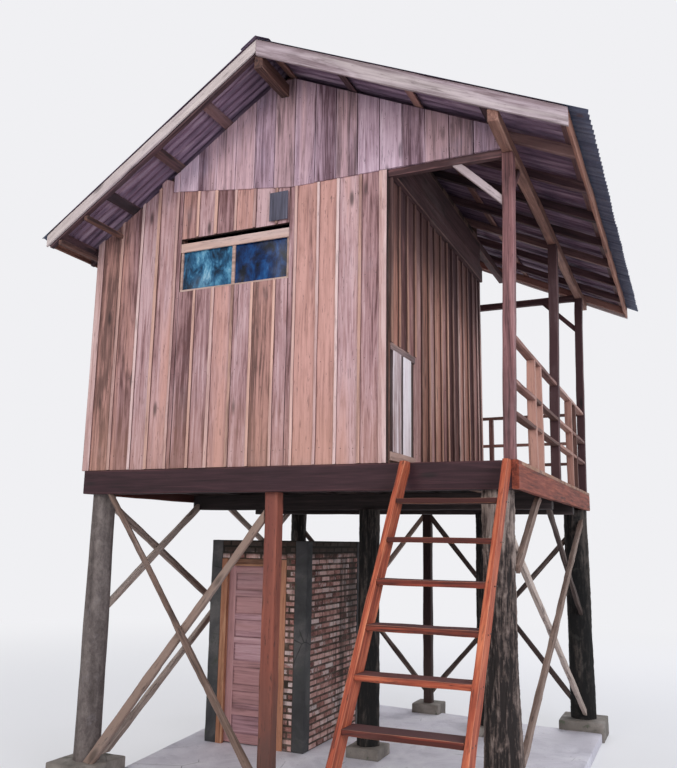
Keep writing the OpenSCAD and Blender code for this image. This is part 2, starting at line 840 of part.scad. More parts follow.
// A knee brace whose ends are cut flush with the beam above p and the post beside q
module bar_between(p, q, w) {
  side = q[0] > p[0] ? 1 : -1;
  run = abs(q[0] - p[0]);
  drop = abs(q[1] - p[1]);
  u = w * norm([run, drop]) / drop;
  v = w * norm([run, drop]) / run;
  polygon([p, [p[0] + side * u, p[1]], [q[0], q[1] + v], q]);
}

// A railing's outline from a to b: the handrail on its uprights, and the lower rails between them
module railing(a, b, uprights) {
  under = handrail - rail_t;
  starts = concat(a, [for (u = uprights) u + upright_t + layer_gap]);
  ends = concat([for (u = uprights) u - layer_gap], b);
  translate([0, deck_z]) {
    translate([a, under]) square([b - a, rail_t]);
    for (u = uprights) translate([u, 0]) square([upright_t, under - layer_gap]);
    for (i = [0:len(starts) - 1], z = low_rails)
      translate([starts[i], z - rail_t]) square([ends[i] - starts[i], rail_t]);
  }
}

module side_railing() {
  mid = porch_mid_y - porch_post / 2;
  color("sienna") sideways(porch_x + rail_in, rail_w) {
    railing(porch_post_y + porch_post, mid, [for (u = side_uprights) if (u < mid) u]);
    railing(mid + porch_post, porch_end_y, [for (u = side_uprights) if (u > mid) u]);
  }
}

module rear_railing() {
  inset = (porch_post - rail_w) / 2;
  mid0 = ridge_x - porch_post / 2;
  mid1 = ridge_x + porch_post / 2;
  color("sienna") {
    upright(porch_end_y + inset, rail_w) {
      railing(left + porch_post, mid0, [for (u = rear_uprights) if (left + u < mid0) left + u]);
      intersection() {
        railing(mid1, right, [for (u = rear_uprights) if (left + u > mid0) left + u]);
        to_post(mid1, deck_z, handrail);
      }
    }
    sideways(left + inset, rail_w) railing(room_d, porch_end_y, [(room_d + porch_end_y - upright_t) / 2]);
  }
}

module rafters() {
  inner0 = stud_y0;
  step = (tie_y - rafter_t - inner0) / (rafter_count - 3);
  ys = concat([plate_y0], [for (i = [0:rafter_count - 3]) inner0 + i * step], [plate_y1 - rafter_t]);
  color("peru") for (y = ys) upright(y, rafter_t) {
    slope_bar(eave_l + barge_t, ridge_x - mitre_gap / 2, purlin_t + lay_gap, rafter_h);
    slope_bar(ridge_x + mitre_gap / 2, eave_r - barge_t, purlin_t + lay_gap, rafter_h);
  }
}

module purlins() {
  steps = purlin_count - 1;
  a0 = eave_l + barge_t;
  a1 = ridge_x - purlin_w;
  b0 = ridge_x;
  b1 = eave_r - barge_t - purlin_w;
  color("burlywood") upright(plate_y0, plate_y1 - plate_y0) for (i = [0:steps]) {
    a = a0 + i * (a1 - purlin_w / 2 - a0) / steps;
    slope_bar(a, a + purlin_w, 0, purlin_t);
    b = b1 - i * (b1 - b0 - purlin_w / 2) / steps;
    slope_bar(b, b + purlin_w, 0, purlin_t);
  }
}

module bargeboards() {
  color("wheat") for (y = [roof_y0, roof_y1 - barge_t]) upright(y, barge_t) {
    slope_bar(eave_l, ridge_x - mitre_gap / 2, 0, left_barge_h);
    slope_bar(ridge_x + mitre_gap / 2, eave_r, 0, barge_h);
  }
}

module eave_boards() {
  color("wheat") {
    block([eave_l, plate_y0, roof_z(eave_l) - left_barge_h], [eave_l + barge_t, plate_y1, roof_z(eave_l)]);
    block([eave_r - barge_t, plate_y0, roof_z(eave_r) - barge_h], [eave_r, plate_y1, roof_z(eave_r)]);
  }
}

// The wave of a sheet across the slope, from its lowest line at 0 to sheet_t above it
module sheet_wave() {
  run = roof_y1 - roof_y0 + 2 * sheet_lip;
  count = round(run / wave_pitch);
  pitch = run / count;
  crest = [for (i = [0:2 * count]) [i * pitch / 2, i % 2]];
  top = [for (c = crest) each [[max(0, c[0] - pitch * wave_flat / 2), c[1]],
    [min(run, c[0] + pitch * wave_flat / 2), c[1]]]];
  polygon(concat([for (p = top) [p[0], p[1] * wave_h + sheet_t]],
    [for (i = [len(top) - 1:-1:0]) [top[i][0], top[i][1] * wave_h]]));
}

// A corrugated sheet that lies on the purlins from x a to x b
module sheet(a, b) {
  mid = (a + b) / 2;
  pitch = atan(slope(mid)) * (mid < ridge_x ? -1 : 1);
  low = mid < ridge_x ? a : b;
  color("slategray") translate([low, roof_y0 - sheet_lip, roof_z(low) + lay_gap])
    rotate([0, pitch, 0]) rotate([90, 0, mid < ridge_x ? 90 : -90]) mirror([mid < ridge_x ? 0 : 1, 0, 0])
      linear_extrude((b - a) / level(mid)) sheet_wave();
}

module left_sheet() {
  sheet(eave_l - left_past, ridge_x - ridge_gap);
}

module right_sheet() {
  sheet(ridge_x + ridge_gap, eave_r + sheet_past);
}

// Two flanges that lie on the sheets' crests
module ridge_cap() {
  top = sheet_t + wave_h + 2 * lay_gap;
  color("slategray") upright(roof_y0 - sheet_lip, roof_y1 - roof_y0 + 2 * sheet_lip) {
    slope_bar(ridge_x - cap_w, ridge_x, -top - cap_t, cap_t);
    slope_bar(ridge_x, ridge_x + cap_w, -top - cap_t, cap_t);
  }
}

// The side view of a stringer, seated on the front beam's face
module stringer_outline() {
  polygon([[ladder_back(deck_z - ladder_seat), deck_z], [ladder_back(deck_z - ladder_seat),
    deck_z - ladder_seat], [ladder_back(0), 0], [ladder_back(0) - ladder_run, 0],
    [ladder_back(deck_z) - ladder_run, deck_z]]);
}

module stringers() {
  color("chocolate") for (x = [ladder_x0, ladder_x1 - stringer_t])
    sideways(x, stringer_t) stringer_outline();
}

module treads() {
  color("chocolate") for (i = [0:tread_count - 1]) {
    z = deck_z - first_tread - i * tread_step;
    y = ladder_back(z) - ladder_run / 2;
    block([ladder_x0 + stringer_t, y - tread_d / 2, z - tread_t],
      [ladder_x1 - stringer_t, y + tread_d / 2, z]);
  }
}

module columns() {
  color("darkslategray") for (x = [brick_x0, brick_x1 - column], y = [brick_y0, brick_y1 - column])
    block([x, y, slab_top], [x + column, y + column, brick_top]);
}

module brick_walls() {
  inset = (column - brick_t) / 2;
  color("indianred") {
    for (x = [brick_x0 + inset, brick_x1 - column + inset])
      block([x, brick_y0 + column, slab_top], [x + brick_t, brick_y1 - column, brick_top]);
    block([brick_x0 + column, brick_y1 - column + inset, slab_top],
      [brick_x1 - column, brick_y1 - column + inset + brick_t, brick_top]);
    block([frame_x1, brick_y0 + front_in, slab_top],
      [brick_x1 - column, brick_y0 + front_in + brick_t, brick_top]);
    block([frame_x0, brick_y0 + front_in, slab_top + frame_h],
      [frame_x1 - layer_gap, brick_y0 + front_in + brick_t, brick_top]);
  }
}

module door_frame() {
  stop_w = 20;
  stop_gap = 5;
  color("orange") {
    upright(leaf_y0 - stop_gap, leaf_t + stop_gap) frame_outline(jamb);
    upright(brick_y0 - stop_gap, leaf_in) frame_outline(jamb + stop_w);
  }
}

// Two jambs and a head of face width w, inside the frame's outer size
module frame_outline(w) {
  difference() {
    translate([frame_x0, slab_top]) square([frame_w, frame_h]);
    translate([frame_x0 + w, slab_top - 1]) square([frame_w - 2 * w, frame_h - w + 1]);
  }
}

module frame_hinges() {
  color("dimgray") for (z = hinge_zs) {
    block([hinge_x - flap_w, leaf_y1, z], [hinge_x, leaf_y1 + flap_t, z + hinge_h / 2 - 1]);
    translate([hinge_x, hinge_y, z]) cylinder(r = hinge_r, h = hinge_h / 2 - 1);
    translate([hinge_x, hinge_y, z]) cylinder(r = pin_r, h = hinge_h);
  }
}

module leaf_hinges() {
  color("dimgray") for (z = hinge_zs) translate([0, 0, z + hinge_h / 2]) difference() {
    union() {
      block([hinge_x, leaf_y1, 0], [hinge_x + flap_w, leaf_y1 + flap_t, hinge_h / 2 - 1]);
      translate([hinge_x, hinge_y, 0]) cylinder(r = hinge_r, h = hinge_h / 2 - 1);
    }
    translate([hinge_x, hinge_y, -1]) cylinder(r = pin_r + pin_play, h = hinge_h);
  }
}

// The leaf has two stiles, a row of rails and a thinner panel between each pair of rails
module door_leaf() {
  w = leaf_x1 - leaf_x0;
  h = leaf_z1 - leaf_z0;
  gap = (h - 2 * leaf_end - (panel_count - 1) * leaf_rail) / panel_count;
  color("rosybrown") difference() {
    block([leaf_x0, leaf_y0, leaf_z0], [leaf_x1, leaf_y1, leaf_z1]);
    for (i = [0:panel_count - 1], y = [leaf_y0 - 1, leaf_y1 - panel_sink])
      translate([leaf_x0 + leaf_stile, y, leaf_z0 + leaf_end + i * (gap + leaf_rail)])
        cube([w - 2 * leaf_stile, panel_sink + 1, gap]);
  }
}

slab();
footings();
front_left_log();
front_right_log();
rear_logs();
squared_posts();
front_beam();
cross_beams();
side_beams();
joists();
floor_boards();
front_braces();
side_braces();
rear_braces();
studs();
front_wall();
left_wall();
porch_wall();
rear_wall();
gable_boards();
wall_patch();
window_frame();
window_glass();
upper_door();
porch_posts();
plates();
porch_ties();
side_railing();
rear_railing();
rafters();
purlins();
bargeboards();
eave_boards();
left_sheet();
right_sheet();
ridge_cap();
stringers();
treads();
columns();
brick_walls();
door_frame();
frame_hinges();
door_leaf();
leaf_hinges();
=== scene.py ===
import math

import bmesh
import bpy
import numpy as np
from mathutils import Matrix, Vector


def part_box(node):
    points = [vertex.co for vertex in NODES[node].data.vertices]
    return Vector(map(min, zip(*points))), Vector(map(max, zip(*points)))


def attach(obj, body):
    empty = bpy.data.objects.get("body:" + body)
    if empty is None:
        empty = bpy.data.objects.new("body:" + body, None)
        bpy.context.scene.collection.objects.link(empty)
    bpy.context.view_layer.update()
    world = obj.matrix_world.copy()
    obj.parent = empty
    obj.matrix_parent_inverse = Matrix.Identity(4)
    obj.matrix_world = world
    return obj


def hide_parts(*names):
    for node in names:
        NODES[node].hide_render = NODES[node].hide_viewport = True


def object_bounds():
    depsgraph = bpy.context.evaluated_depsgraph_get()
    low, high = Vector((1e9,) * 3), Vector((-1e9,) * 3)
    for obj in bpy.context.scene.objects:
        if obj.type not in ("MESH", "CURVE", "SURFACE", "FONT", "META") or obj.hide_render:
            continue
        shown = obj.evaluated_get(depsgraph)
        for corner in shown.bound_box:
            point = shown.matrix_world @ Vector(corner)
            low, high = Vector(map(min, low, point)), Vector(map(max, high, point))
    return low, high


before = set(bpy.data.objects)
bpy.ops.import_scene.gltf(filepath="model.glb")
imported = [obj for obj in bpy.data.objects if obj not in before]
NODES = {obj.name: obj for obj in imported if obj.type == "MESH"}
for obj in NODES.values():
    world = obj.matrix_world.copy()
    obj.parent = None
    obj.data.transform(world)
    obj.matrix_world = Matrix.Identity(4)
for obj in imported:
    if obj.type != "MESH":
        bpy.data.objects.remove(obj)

cad_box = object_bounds()
scene = bpy.context.scene
UP = np.array([0, 0, 1.0])


# ---- node trees

def rgb(r, g, b):
    """A colour given as 0 to 255 on screen, as the shaders take it"""
    parts = (((c / 255 + 0.055) / 1.055) ** 2.4 if c > 10 else c / 255 / 12.92 for c in (r, g, b))
    return (*parts, 1.0)


def shaded(colour, k):
    return [min(255, c * k) for c in colour]


class Wire:
    """A node's output, which can be added to, subtracted from and multiplied"""

    def __init__(self, tree, socket):
        self.tree, self.socket = tree, socket

    def __add__(self, other):
        return self.tree.math("ADD", self, other)

    def __sub__(self, other):
        return self.tree.math("SUBTRACT", self, other)

    def __mul__(self, other):
        return self.tree.math("MULTIPLY", self, other)


class Tree:
    """A node tree and short ways to add its nodes"""

    def __init__(self, tree):
        self.t = tree

    def put(self, socket, value):
        if isinstance(value, Wire):
            self.t.links.new(value.socket, socket)
        else:
            socket.default_value = value

    def outputs(self, kind, outs, ins=(), **props):
        n = self.t.nodes.new("ShaderNode" + kind)
        for k, v in props.items():
            setattr(n, k, v)
        for k, v in dict(ins).items():
            self.put(n.inputs[k], v)
        return [Wire(self, n.outputs[out]) for out in outs]

    def node(self, kind, out=0, ins=(), **props):
        return self.outputs(kind, [out], ins, **props)[0]

    def math(self, op, a, b=0.0):
        return self.node("Math", 0, {0: a, 1: b}, operation=op)

    def scaled(self, vector, scale):
        return self.node("VectorMath", 0, {0: vector, 1: scale}, operation="MULTIPLY")

    def place(self):
        return self.node("NewGeometry", "Position")

    def axis(self, k, of="Position"):
        """One part of the surface's place, or of its normal"""
        return self.node("SeparateXYZ", k, {0: self.node("NewGeometry", of)})

    def noise(self, scale, detail=3.0, rough=0.55, vector=None, warp=0.0):
        """Noise at vector, else at the surface's place. scale is one number, or one for each axis."""
        vector = vector or self.place()
        if isinstance(scale, tuple):
            vector, scale = self.scaled(vector, scale), 1.0
        return self.node("TexNoise", 0, {"Vector": vector, "Scale": scale, "Detail": detail,
                                         "Roughness": rough, "Distortion": warp})

    def cells(self, vector, scale, feature):
        ins = {"Vector": vector, "Scale": scale, "Randomness": 1.0}
        return self.node("TexVoronoi", 0, ins, feature=feature)

    def ramp(self, fac, *stops):
        """Colours, given as 0 to 255, at places from 0 to 1"""
        out = self.node("ValToRGB", 0, {0: fac})
        elements = out.socket.node.color_ramp.elements
        while len(elements) < len(stops):
            elements.new(0.5)
        for element, (place, colour) in zip(elements, stops):
            element.position = place
            element.color = rgb(*colour)
        return out

    def step(self, fac, low, high, a=0.0, b=1.0):
        """a below low, b above high, smooth between"""
        return self.node("MapRange", 0, enumerate((fac, low, high, a, b)), interpolation_type="SMOOTHSTEP")

    def spots(self, low, high, *noise, **more):
        """1 where such a noise is above high, 0 where it is below low"""
        return self.step(self.noise(*noise, **more), low, high)

    def blend(self, fac, a, b):
        return self.node("Mix", 2, {0: fac, 6: a, 7: b}, data_type="RGBA")

    def over(self, col, fac, tint, k=1.0):
        """col with the tint, given as 0 to 255 and shaded by k, over it by fac"""
        return self.blend(fac, col, rgb(*shaded(tint, k)))

    def bump(self, height, strength, distance):
        return self.node("Bump", 0, {"Height": height, "Strength": strength, "Distance": distance})

    def looking(self):
        """1 for a ray from the camera, or one seen in a gloss or through glass, else 0"""
        kinds = ["Is Camera Ray", "Is Glossy Ray", "Is Transmission Ray"]
        seen, gloss, glass = self.outputs("LightPath", kinds)
        return self.math("MAXIMUM", self.math("MAXIMUM", seen, gloss), glass)


class Mat(Tree):
    """A Principled material"""

    def __init__(self, name):
        self.m = bpy.data.materials.new(name)
        self.m.use_nodes = True
        super().__init__(self.m.node_tree)
        self.bsdf = self.t.nodes["Principled BSDF"]

    def grain(self):
        """The place along the piece's own grain"""
        return self.node("Attribute", "Vector", attribute_name="gr")

    def tones(self):
        """Two tones of the piece, then the place across its width and its thickness, from -1 to 1"""
        colour, alpha = self.outputs("Attribute", ["Color", "Alpha"], attribute_name="tone")
        return self.outputs("SeparateColor", [0, 1, 2], {0: colour}) + [alpha]

    def set(self, colour, **values):
        """Fills the shader's sockets and gives the material"""
        for k, v in {"Base Color": colour, **values}.items():
            self.put(self.bsdf.inputs[k.replace("_", " ")], v)
        return self.m


# ---- camera, light and floor

BACKDROP = rgb(240, 240, 243)


def placed(name, data):
    ob = bpy.data.objects.new(name, data)
    scene.collection.objects.link(ob)
    return ob


def camera():
    data = bpy.data.cameras.new("camera")
    data.sensor_width = 36
    data.lens = 37.236
    ob = placed("camera", data)
    turn, lift, roll = (math.radians(a) for a in (24.0109, 11.0794, 0.8439))
    ob.matrix_world = (Matrix.Translation((3.1415, -5.788, 2.1214)) @ Matrix.Rotation(turn, 4, "Z")
                       @ Matrix.Rotation(math.pi / 2 + lift, 4, "X") @ Matrix.Rotation(roll, 4, "Z"))
    scene.camera = ob


def lamp(name, place, target, size, power, colour):
    data = bpy.data.lights.new(name, "AREA")
    data.size = size
    data.energy = power
    data.color = rgb(*colour)[:3]
    ob = placed(name, data)
    ob.location = place
    ob.rotation_euler = (Vector(target) - Vector(place)).to_track_quat("-Z", "Y").to_euler()


def surroundings():
    scene.view_settings.view_transform = "Standard"
    scene.world = bpy.data.worlds.new("world")
    scene.world.use_nodes = True
    w = Tree(scene.world.node_tree)
    w.t.nodes.clear()
    seen = w.node("Background", 0, {"Color": BACKDROP})
    light = w.node("Background", 0, {"Color": rgb(238, 242, 250), "Strength": 0.6})
    w.outputs("OutputWorld", [], {0: w.node("MixShader", 0, {0: w.looking(), 1: light, 2: seen})})
    lamp("key", (-3.2, -11.5, 7.2), (0, 1.5, 3.2), 5.0, 520, (255, 250, 243))
    lamp("fill", (9.0, -6.0, 5.5), (1, 1.5, 3.0), 6.0, 640, (240, 245, 255))
    lamp("behind", (2.0, 14.0, 9.0), (0, 2.5, 3.0), 7.0, 650, (250, 250, 255))
    bpy.ops.mesh.primitive_plane_add(size=160, location=(0, 0, -0.002))
    floor = bpy.context.object
    floor.name = "floor"
    m = Mat("floor")
    m.set(m.blend(m.noise(0.3, 3), rgb(228, 228, 231), rgb(234, 234, 236)), Roughness=0.9)
    away = m.node("VectorMath", 1, {0: m.place(), 1: (0.3, 2.0, 0)}, operation="DISTANCE")
    fade = m.looking() * m.step(away, 3.0, 15.0, 0.45, 1.0)
    glow = m.node("Emission", 0, {"Color": BACKDROP})
    mix = m.node("MixShader", 0, {0: fade, 1: Wire(m, m.bsdf.outputs[0]), 2: glow})
    m.put(m.t.nodes["Material Output"].inputs[0], mix)
    floor.data.materials.append(m.m)


# ---- materials

def wood(name, dark, mid, pale, other=None, other_share=0.5, contrast=1.0, grey=0.25,
         grey_colour=(150, 135, 130), crack=0.5, knot=0.6, edge=0.35, edge_colour=None, rough=0.72,
         bump=0.5, foot=None, top=None, tone=0.35, boards=0.0, flecks=0.45, sides=None):
    """Sawn or hewn timber: fibres, streaks, knots, cracks, worn edges and weathering along the grain.
    boards is the width of boards to draw on a plain wall. foot is (z0, z1, tint, share), and top and
    sides are (tint, share)."""
    m = Mat(name)
    if boards:
        x, y, z = m.outputs("SeparateXYZ", [0, 1, 2], {0: m.place()})
        run = m.math("DIVIDE", x + y, boards)
        cell = m.math("FLOOR", run)
        gr = m.node("CombineXYZ", 0, {0: z, 1: run * boards, 2: cell * 3.7})
        r1, r2 = (m.node("TexWhiteNoise", 0, {"W": w}, noise_dimensions="1D") for w in (cell, cell + 51.3))
        across, thick = (run - cell - 0.5) * 2.0, 1.0
    else:
        gr = m.grain()
        r1, r2, across, thick = m.tones()
    fine = m.noise((1.6, 34, 34), 6, 0.62, gr, 0.4)
    broad = m.noise((0.45, 7, 7), 3, 0.5, gr, 0.6)
    spots = m.noise((3.0, 5, 5), 4, 0.6, gr)
    fibre = m.noise((6, 190, 190), 2, 0.5, gr)
    rings = m.math("SINE", broad * 75.0)
    fac = fine * 0.5 + broad * 0.3 + spots * 0.14 + fibre * 0.10 + rings * 0.022 + (r1 - 0.5) * tone
    low, high = 0.52 - 0.2 / contrast, 0.52 + 0.2 / contrast
    col = m.ramp(fac, (low, dark), (0.52, mid), (high, pale))
    if other:
        share = m.step(r2 + (broad - 0.5) * 1.2, 1 - other_share - 0.2, 1 - other_share + 0.2)
        col = m.blend(share * 0.75, col, m.ramp(fac, (low, shaded(other, 0.62)), (0.5, other),
                                                (high, shaded(other, 1.15))))
    patches = m.spots(0.5, 0.68, 1.3, 5, 0.62) * m.spots(0.35, 0.65, (1.2, 16, 16), 3, 0.6, gr)
    col = m.over(col, patches * grey, grey_colour)
    col = m.over(col, m.spots(0.56, 0.68, (7, 60, 60), 4, 0.72, gr, 0.5) * flecks, dark, 0.8)
    knots = m.cells(m.scaled(gr, (1.5, 5.2, 5.2)), 1.0, "F1")
    col = m.over(col, m.step(knots, 0.16, 0.05, 0.0, knot), dark, 0.5)
    split = m.spots(0.66, 0.74, (0.8, 75, 75), 3, 0.6, gr, 0.2)
    col = m.over(col, split * crack, dark, 0.4)
    rim = m.math("MINIMUM", m.math("ABSOLUTE", across), m.math("ABSOLUTE", thick)) + (fine - 0.5) * 0.25
    col = m.over(col, m.step(rim, 0.86, 0.98) * edge, edge_colour or pale)
    # A tint that fades with height from z0 to z1. On the porch wall it is painted shade, darkest at the top
    # under the eaves
    if foot:
        z0, z1, tint, share = foot
        near = m.step(m.axis(2) + (spots - 0.5) * (0.7 * (z1 - z0)), z1, z0)
        col = m.over(col, near * share, tint)
    # Painted shade on the thickness faces: the shaded sides of boards and battens, and the dark slots beside
    # the patch boards
    if sides:
        tint, share = sides
        col = m.over(col, m.step(thick, 0.85, 0.4, 0.0, share), tint)
    if boards:
        col = m.over(col, m.step(m.math("ABSOLUTE", across), 0.965, 0.985), dark, 0.35)
    # A tint on faces that look up: paler rail tops, and painted shade on the ladder's tread tops
    if top:
        tint, share = top
        col = m.over(col, m.step(m.axis(2, "Normal"), 0.6, 0.9) * share, tint)
    return m.set(col, Roughness=m.step(fac, 0.35, 0.7, rough + 0.12, rough - 0.08),
                 Normal=m.bump(fine * 0.7 + fibre * 0.3 - split * 0.9, bump, 0.004))


def concrete(name, dark, mid, pale, stain, bump, moss=0.0, moss_colour=(60, 72, 50)):
    """Cast concrete: trowel clouds, sand grain, pits, hairline cracks, damp stains and moss"""
    m = Mat(name)
    cloud = m.noise(2.2, 6, 0.6, warp=0.6)
    grain = m.noise(140, 3, 0.6)
    col = m.ramp(cloud, (0.3, dark), (0.5, mid), (0.7, pale))
    col = m.over(col, m.step(grain, 0.35, 0.7) * 0.35, mid, 0.72)
    damp = m.spots(0.5, 0.62, 0.9, 4, 0.65, warp=1.2)
    col = m.over(col, damp * 0.55, stain)
    col = m.over(col, m.spots(0.62, 0.72, 26, 4, 0.7) * 0.45, stain, 0.55)
    crack = m.step(m.cells(m.place(), 1.7, "DISTANCE_TO_EDGE"), 0.012, 0.002)
    crack = crack * m.spots(0.52, 0.6, 1.1, 3)
    col = m.over(col, crack * 0.6, dark, 0.4)
    if moss:
        green = m.spots(0.62 - 0.2 * moss, 0.72 - 0.2 * moss, 7, 6, 0.7)
        col = m.over(col, green * 0.8, moss_colour)
    pits = m.spots(0.66, 0.8, 60, 2, 0.5)
    return m.set(col, Roughness=m.step(damp, 0, 1, 0.88, 0.62),
                 Normal=m.bump(grain * 0.35 + cloud * 0.6 - (pits * 0.6 + crack * 0.8), bump, 0.006))


def bark(name, deep, mid, crest, patch, patch_share, smooth_skin=False, bump=0.7):
    """A log's skin. The third of its tones is the depth of its furrows, from below 0 to above 0"""
    m = Mat(name)
    gr = m.grain()
    fine_size, broad_size, furrows, splits = (42, 62, 62), (11, 15, 15), 0.3, 0.3
    if smooth_skin:
        fine_size, broad_size, furrows, splits = (34, 52, 52), (8, 10, 10), 0.04, 0.15
    fine = m.noise(fine_size, 6, 0.7, gr, 0.3)
    broad = m.noise(broad_size, 4, 0.6, gr, 0.8)
    f = fine * 0.45 + broad * 0.55 + m.tones()[2] * furrows
    col = m.ramp(f, (0.3, deep), (0.5, mid), (0.72, crest))
    lichen = m.spots(0.66 - 0.3 * patch_share, 0.74 - 0.3 * patch_share, 3.4, 6, 0.7, warp=0.8)
    col = m.over(col, lichen * 0.6, patch)
    col = m.over(col, m.spots(0.62, 0.72, 75, 3, 0.6) * 0.35, deep, 0.5)
    split = m.spots(0.64, 0.72, (1.4, 90, 90), 3, 0.6, gr, 0.3)
    col = m.over(col, split * splits, deep, 0.45)
    return m.set(col, Roughness=m.step(f, 0.3, 0.7, 0.95, 0.78),
                 Normal=m.bump(fine * 0.8 + broad * 0.4 - split * 0.7, bump, 0.006))


def streaks_and_shade(m):
    """Mossy streaks that run down the brickwork, and a painted shade band along its upper edge, where the
    deck above shades it
    """
    streaks = m.spots(0.53, 0.64, (2.6, 2.6, 0.35), 5, 0.65, warp=0.3)
    # Painted shade: a dark band at the top of the brickwork, where the deck shades it
    damp = m.step(m.axis(2) + m.noise(5, 4) * 0.16, 1.98, 2.07, 0.0, 0.95)
    return m.math("MAXIMUM", streaks * 0.8, damp)


def brick_skin():
    m = Mat("brick_skin")
    r1, r2 = m.tones()[:2]
    grain = m.noise(90, 5, 0.65)
    cloud = m.noise(11, 5, 0.65, warp=0.5)
    col = m.ramp(cloud * 0.6 + grain * 0.4 + (r1 - 0.5) * 0.34, (0.3, (92, 56, 50)), (0.46, (164, 114, 104)),
                 (0.62, (206, 164, 154)), (0.78, (228, 200, 192)))
    white = m.step(m.noise(16, 6, 0.72) + (r2 - 0.5) * 0.34, 0.52, 0.66) * m.spots(0.3, 0.56, 1.3, 4, 0.6)
    col = m.over(col, white * 0.7, (222, 208, 204))
    # Mossy streaks, and painted shade along the top
    col = m.over(col, streaks_and_shade(m), (46, 38, 30))
    return m.set(col, Roughness=0.92, Normal=m.bump(grain + cloud * 0.6, 0.7, 0.006))


def mortar_skin():
    m = Mat("mortar_skin")
    grain = m.noise(120, 4, 0.65)
    col = m.ramp(m.noise(6, 5, 0.65), (0.34, (56, 44, 36)), (0.5, (86, 70, 60)), (0.66, (124, 106, 96)))
    col = m.over(col, m.step(grain, 0.4, 0.7) * 0.4, (56, 44, 34))
    # Mossy streaks, and painted shade along the top
    col = m.over(col, streaks_and_shade(m), (34, 29, 23))
    return m.set(col, Roughness=0.95, Normal=m.bump(grain, 0.6, 0.005))


def roof_skin(left_edge, right_edge):
    """Coated sheet steel: slate on top, with streaks down the slope and some rust; underneath, inside the
    eaves, a dull mauve that is painted shade and a painted reflection of the timbers
    """
    m = Mat("roof_skin")
    fine = m.noise(60, 4, 0.6)
    f = m.noise((0.8, 26, 0.8), 5, 0.6, warp=0.3) * 0.6 + m.noise(1.9, 5, 0.6) * 0.2 + fine * 0.2
    col = m.ramp(f, (0.36, (68, 76, 95)), (0.5, (94, 102, 123)), (0.64, (124, 132, 148)))
    col = m.over(col, m.spots(0.6, 0.7, (3, 11, 3), 6, 0.7) * 0.55, (98, 66, 52))
    # Painted shade and reflection: inside the eave edges, faces that look down take a dull mauve for the
    # shade and the reflected timbers
    x = m.axis(0)
    inside = m.step(x, left_edge, left_edge + 0.02) * m.step(x, right_edge, right_edge - 0.02)
    under = m.ramp(m.noise((1.4, 14, 1.4), 5, 0.6, warp=0.6), (0.34, (74, 58, 76)),
                   (0.52, (122, 98, 118)), (0.7, (166, 144, 158)))
    col = m.blend(m.step(m.axis(2, "Normal"), -0.2, -0.5) * inside, col, under)
    return m.set(col, Metallic=0.25, Roughness=m.step(f, 0.35, 0.65, 0.62, 0.42),
                 Normal=m.bump(fine, 0.25, 0.002))


def iron():
    m = Mat("iron_skin")
    f = m.noise(38, 5, 0.65)
    col = m.ramp(f, (0.35, (46, 40, 40)), (0.52, (84, 78, 76)), (0.68, (120, 112, 106)))
    col = m.over(col, m.spots(0.54, 0.64, 55, 6, 0.7) * 0.7, (112, 64, 42))
    return m.set(col, Metallic=0.7, Roughness=m.step(f, 0.3, 0.7, 0.5, 0.75), Normal=m.bump(f, 0.4, 0.0015))


def pane_skin(split):
    """Panes with a blue film and painted reflections: the one left of split pale and cloudy with a painted
    reflection of sky, the other deep blue with a painted reflection of dark foliage
    """
    m = Mat("pane_skin")
    cloud = m.noise((9, 9, 4.95), 7, 0.7, warp=0.35)
    soft = m.noise(3.0, 3, 0.5)
    # Both ramps are painted reflections laid over the blue of the film
    deep = m.ramp(cloud, (0.4, (3, 12, 27)), (0.5, (7, 34, 74)), (0.62, (16, 66, 120)),
                  (0.76, (48, 116, 166)))
    pale = m.ramp(cloud, (0.38, (10, 34, 54)), (0.5, (34, 84, 118)), (0.6, (84, 142, 172)),
                  (0.72, (168, 200, 212)))
    col = m.blend(m.step(m.axis(0), split - 0.02, split + 0.02), pale, deep)
    col = m.over(col, m.step(soft, 0.5, 0.7) * 0.12, (150, 150, 150))
    return m.set(col, Roughness=m.step(soft, 0.3, 0.7, 0.04, 0.16), Specular_IOR_Level=0.2)


# ---- numbers and shapes

def floats(*rows):
    return [np.array(row, float) for row in rows]


def unit(v):
    return np.array(v, float) / np.linalg.norm(v)


def xyz(*parts):
    """Arrays with one number for each point, put side by side as each point's row"""
    return np.stack(np.broadcast_arrays(*parts), -1)


def hashed(i, seed):
    """A fixed value from 0 to 1 for each whole-number place in i"""
    x, y, z = (i[..., k].astype(np.int64) for k in range(3))
    n = (x * 73856093) ^ (y * 19349663) ^ (z * 83492791) ^ (seed * 2654435761)
    n = (n ^ (n >> 13)) * 1274126177
    n = n ^ (n >> 16)
    return (n & 0xFFFFFF) / float(0xFFFFFF)


def smooth(p, seed=0):
    """Smooth noise from -1 to 1 at the points p"""
    p = np.asarray(p, float)
    i = np.floor(p)
    f = p - i
    f = f * f * (3 - 2 * f)
    total = 0
    for corner in np.ndindex(2, 2, 2):
        x, y, z = (f[..., k] if corner[k] else 1 - f[..., k] for k in range(3))
        total = total + x * y * z * hashed(i + np.array(corner), seed)
    return total * 2 - 1


def smooth_line(x, seed):
    """Smooth noise from -1 to 1 along a line"""
    return smooth(xyz(x, 0, 0), seed)


def rough(p, seed=0, octaves=3, gain=0.5):
    """Noise of several sizes at the points p"""
    total, size = 0, 1.0
    for k in range(octaves):
        total = total + size * smooth(np.asarray(p) * 2 ** k, seed + 17 * k)
        size *= gain
    return total


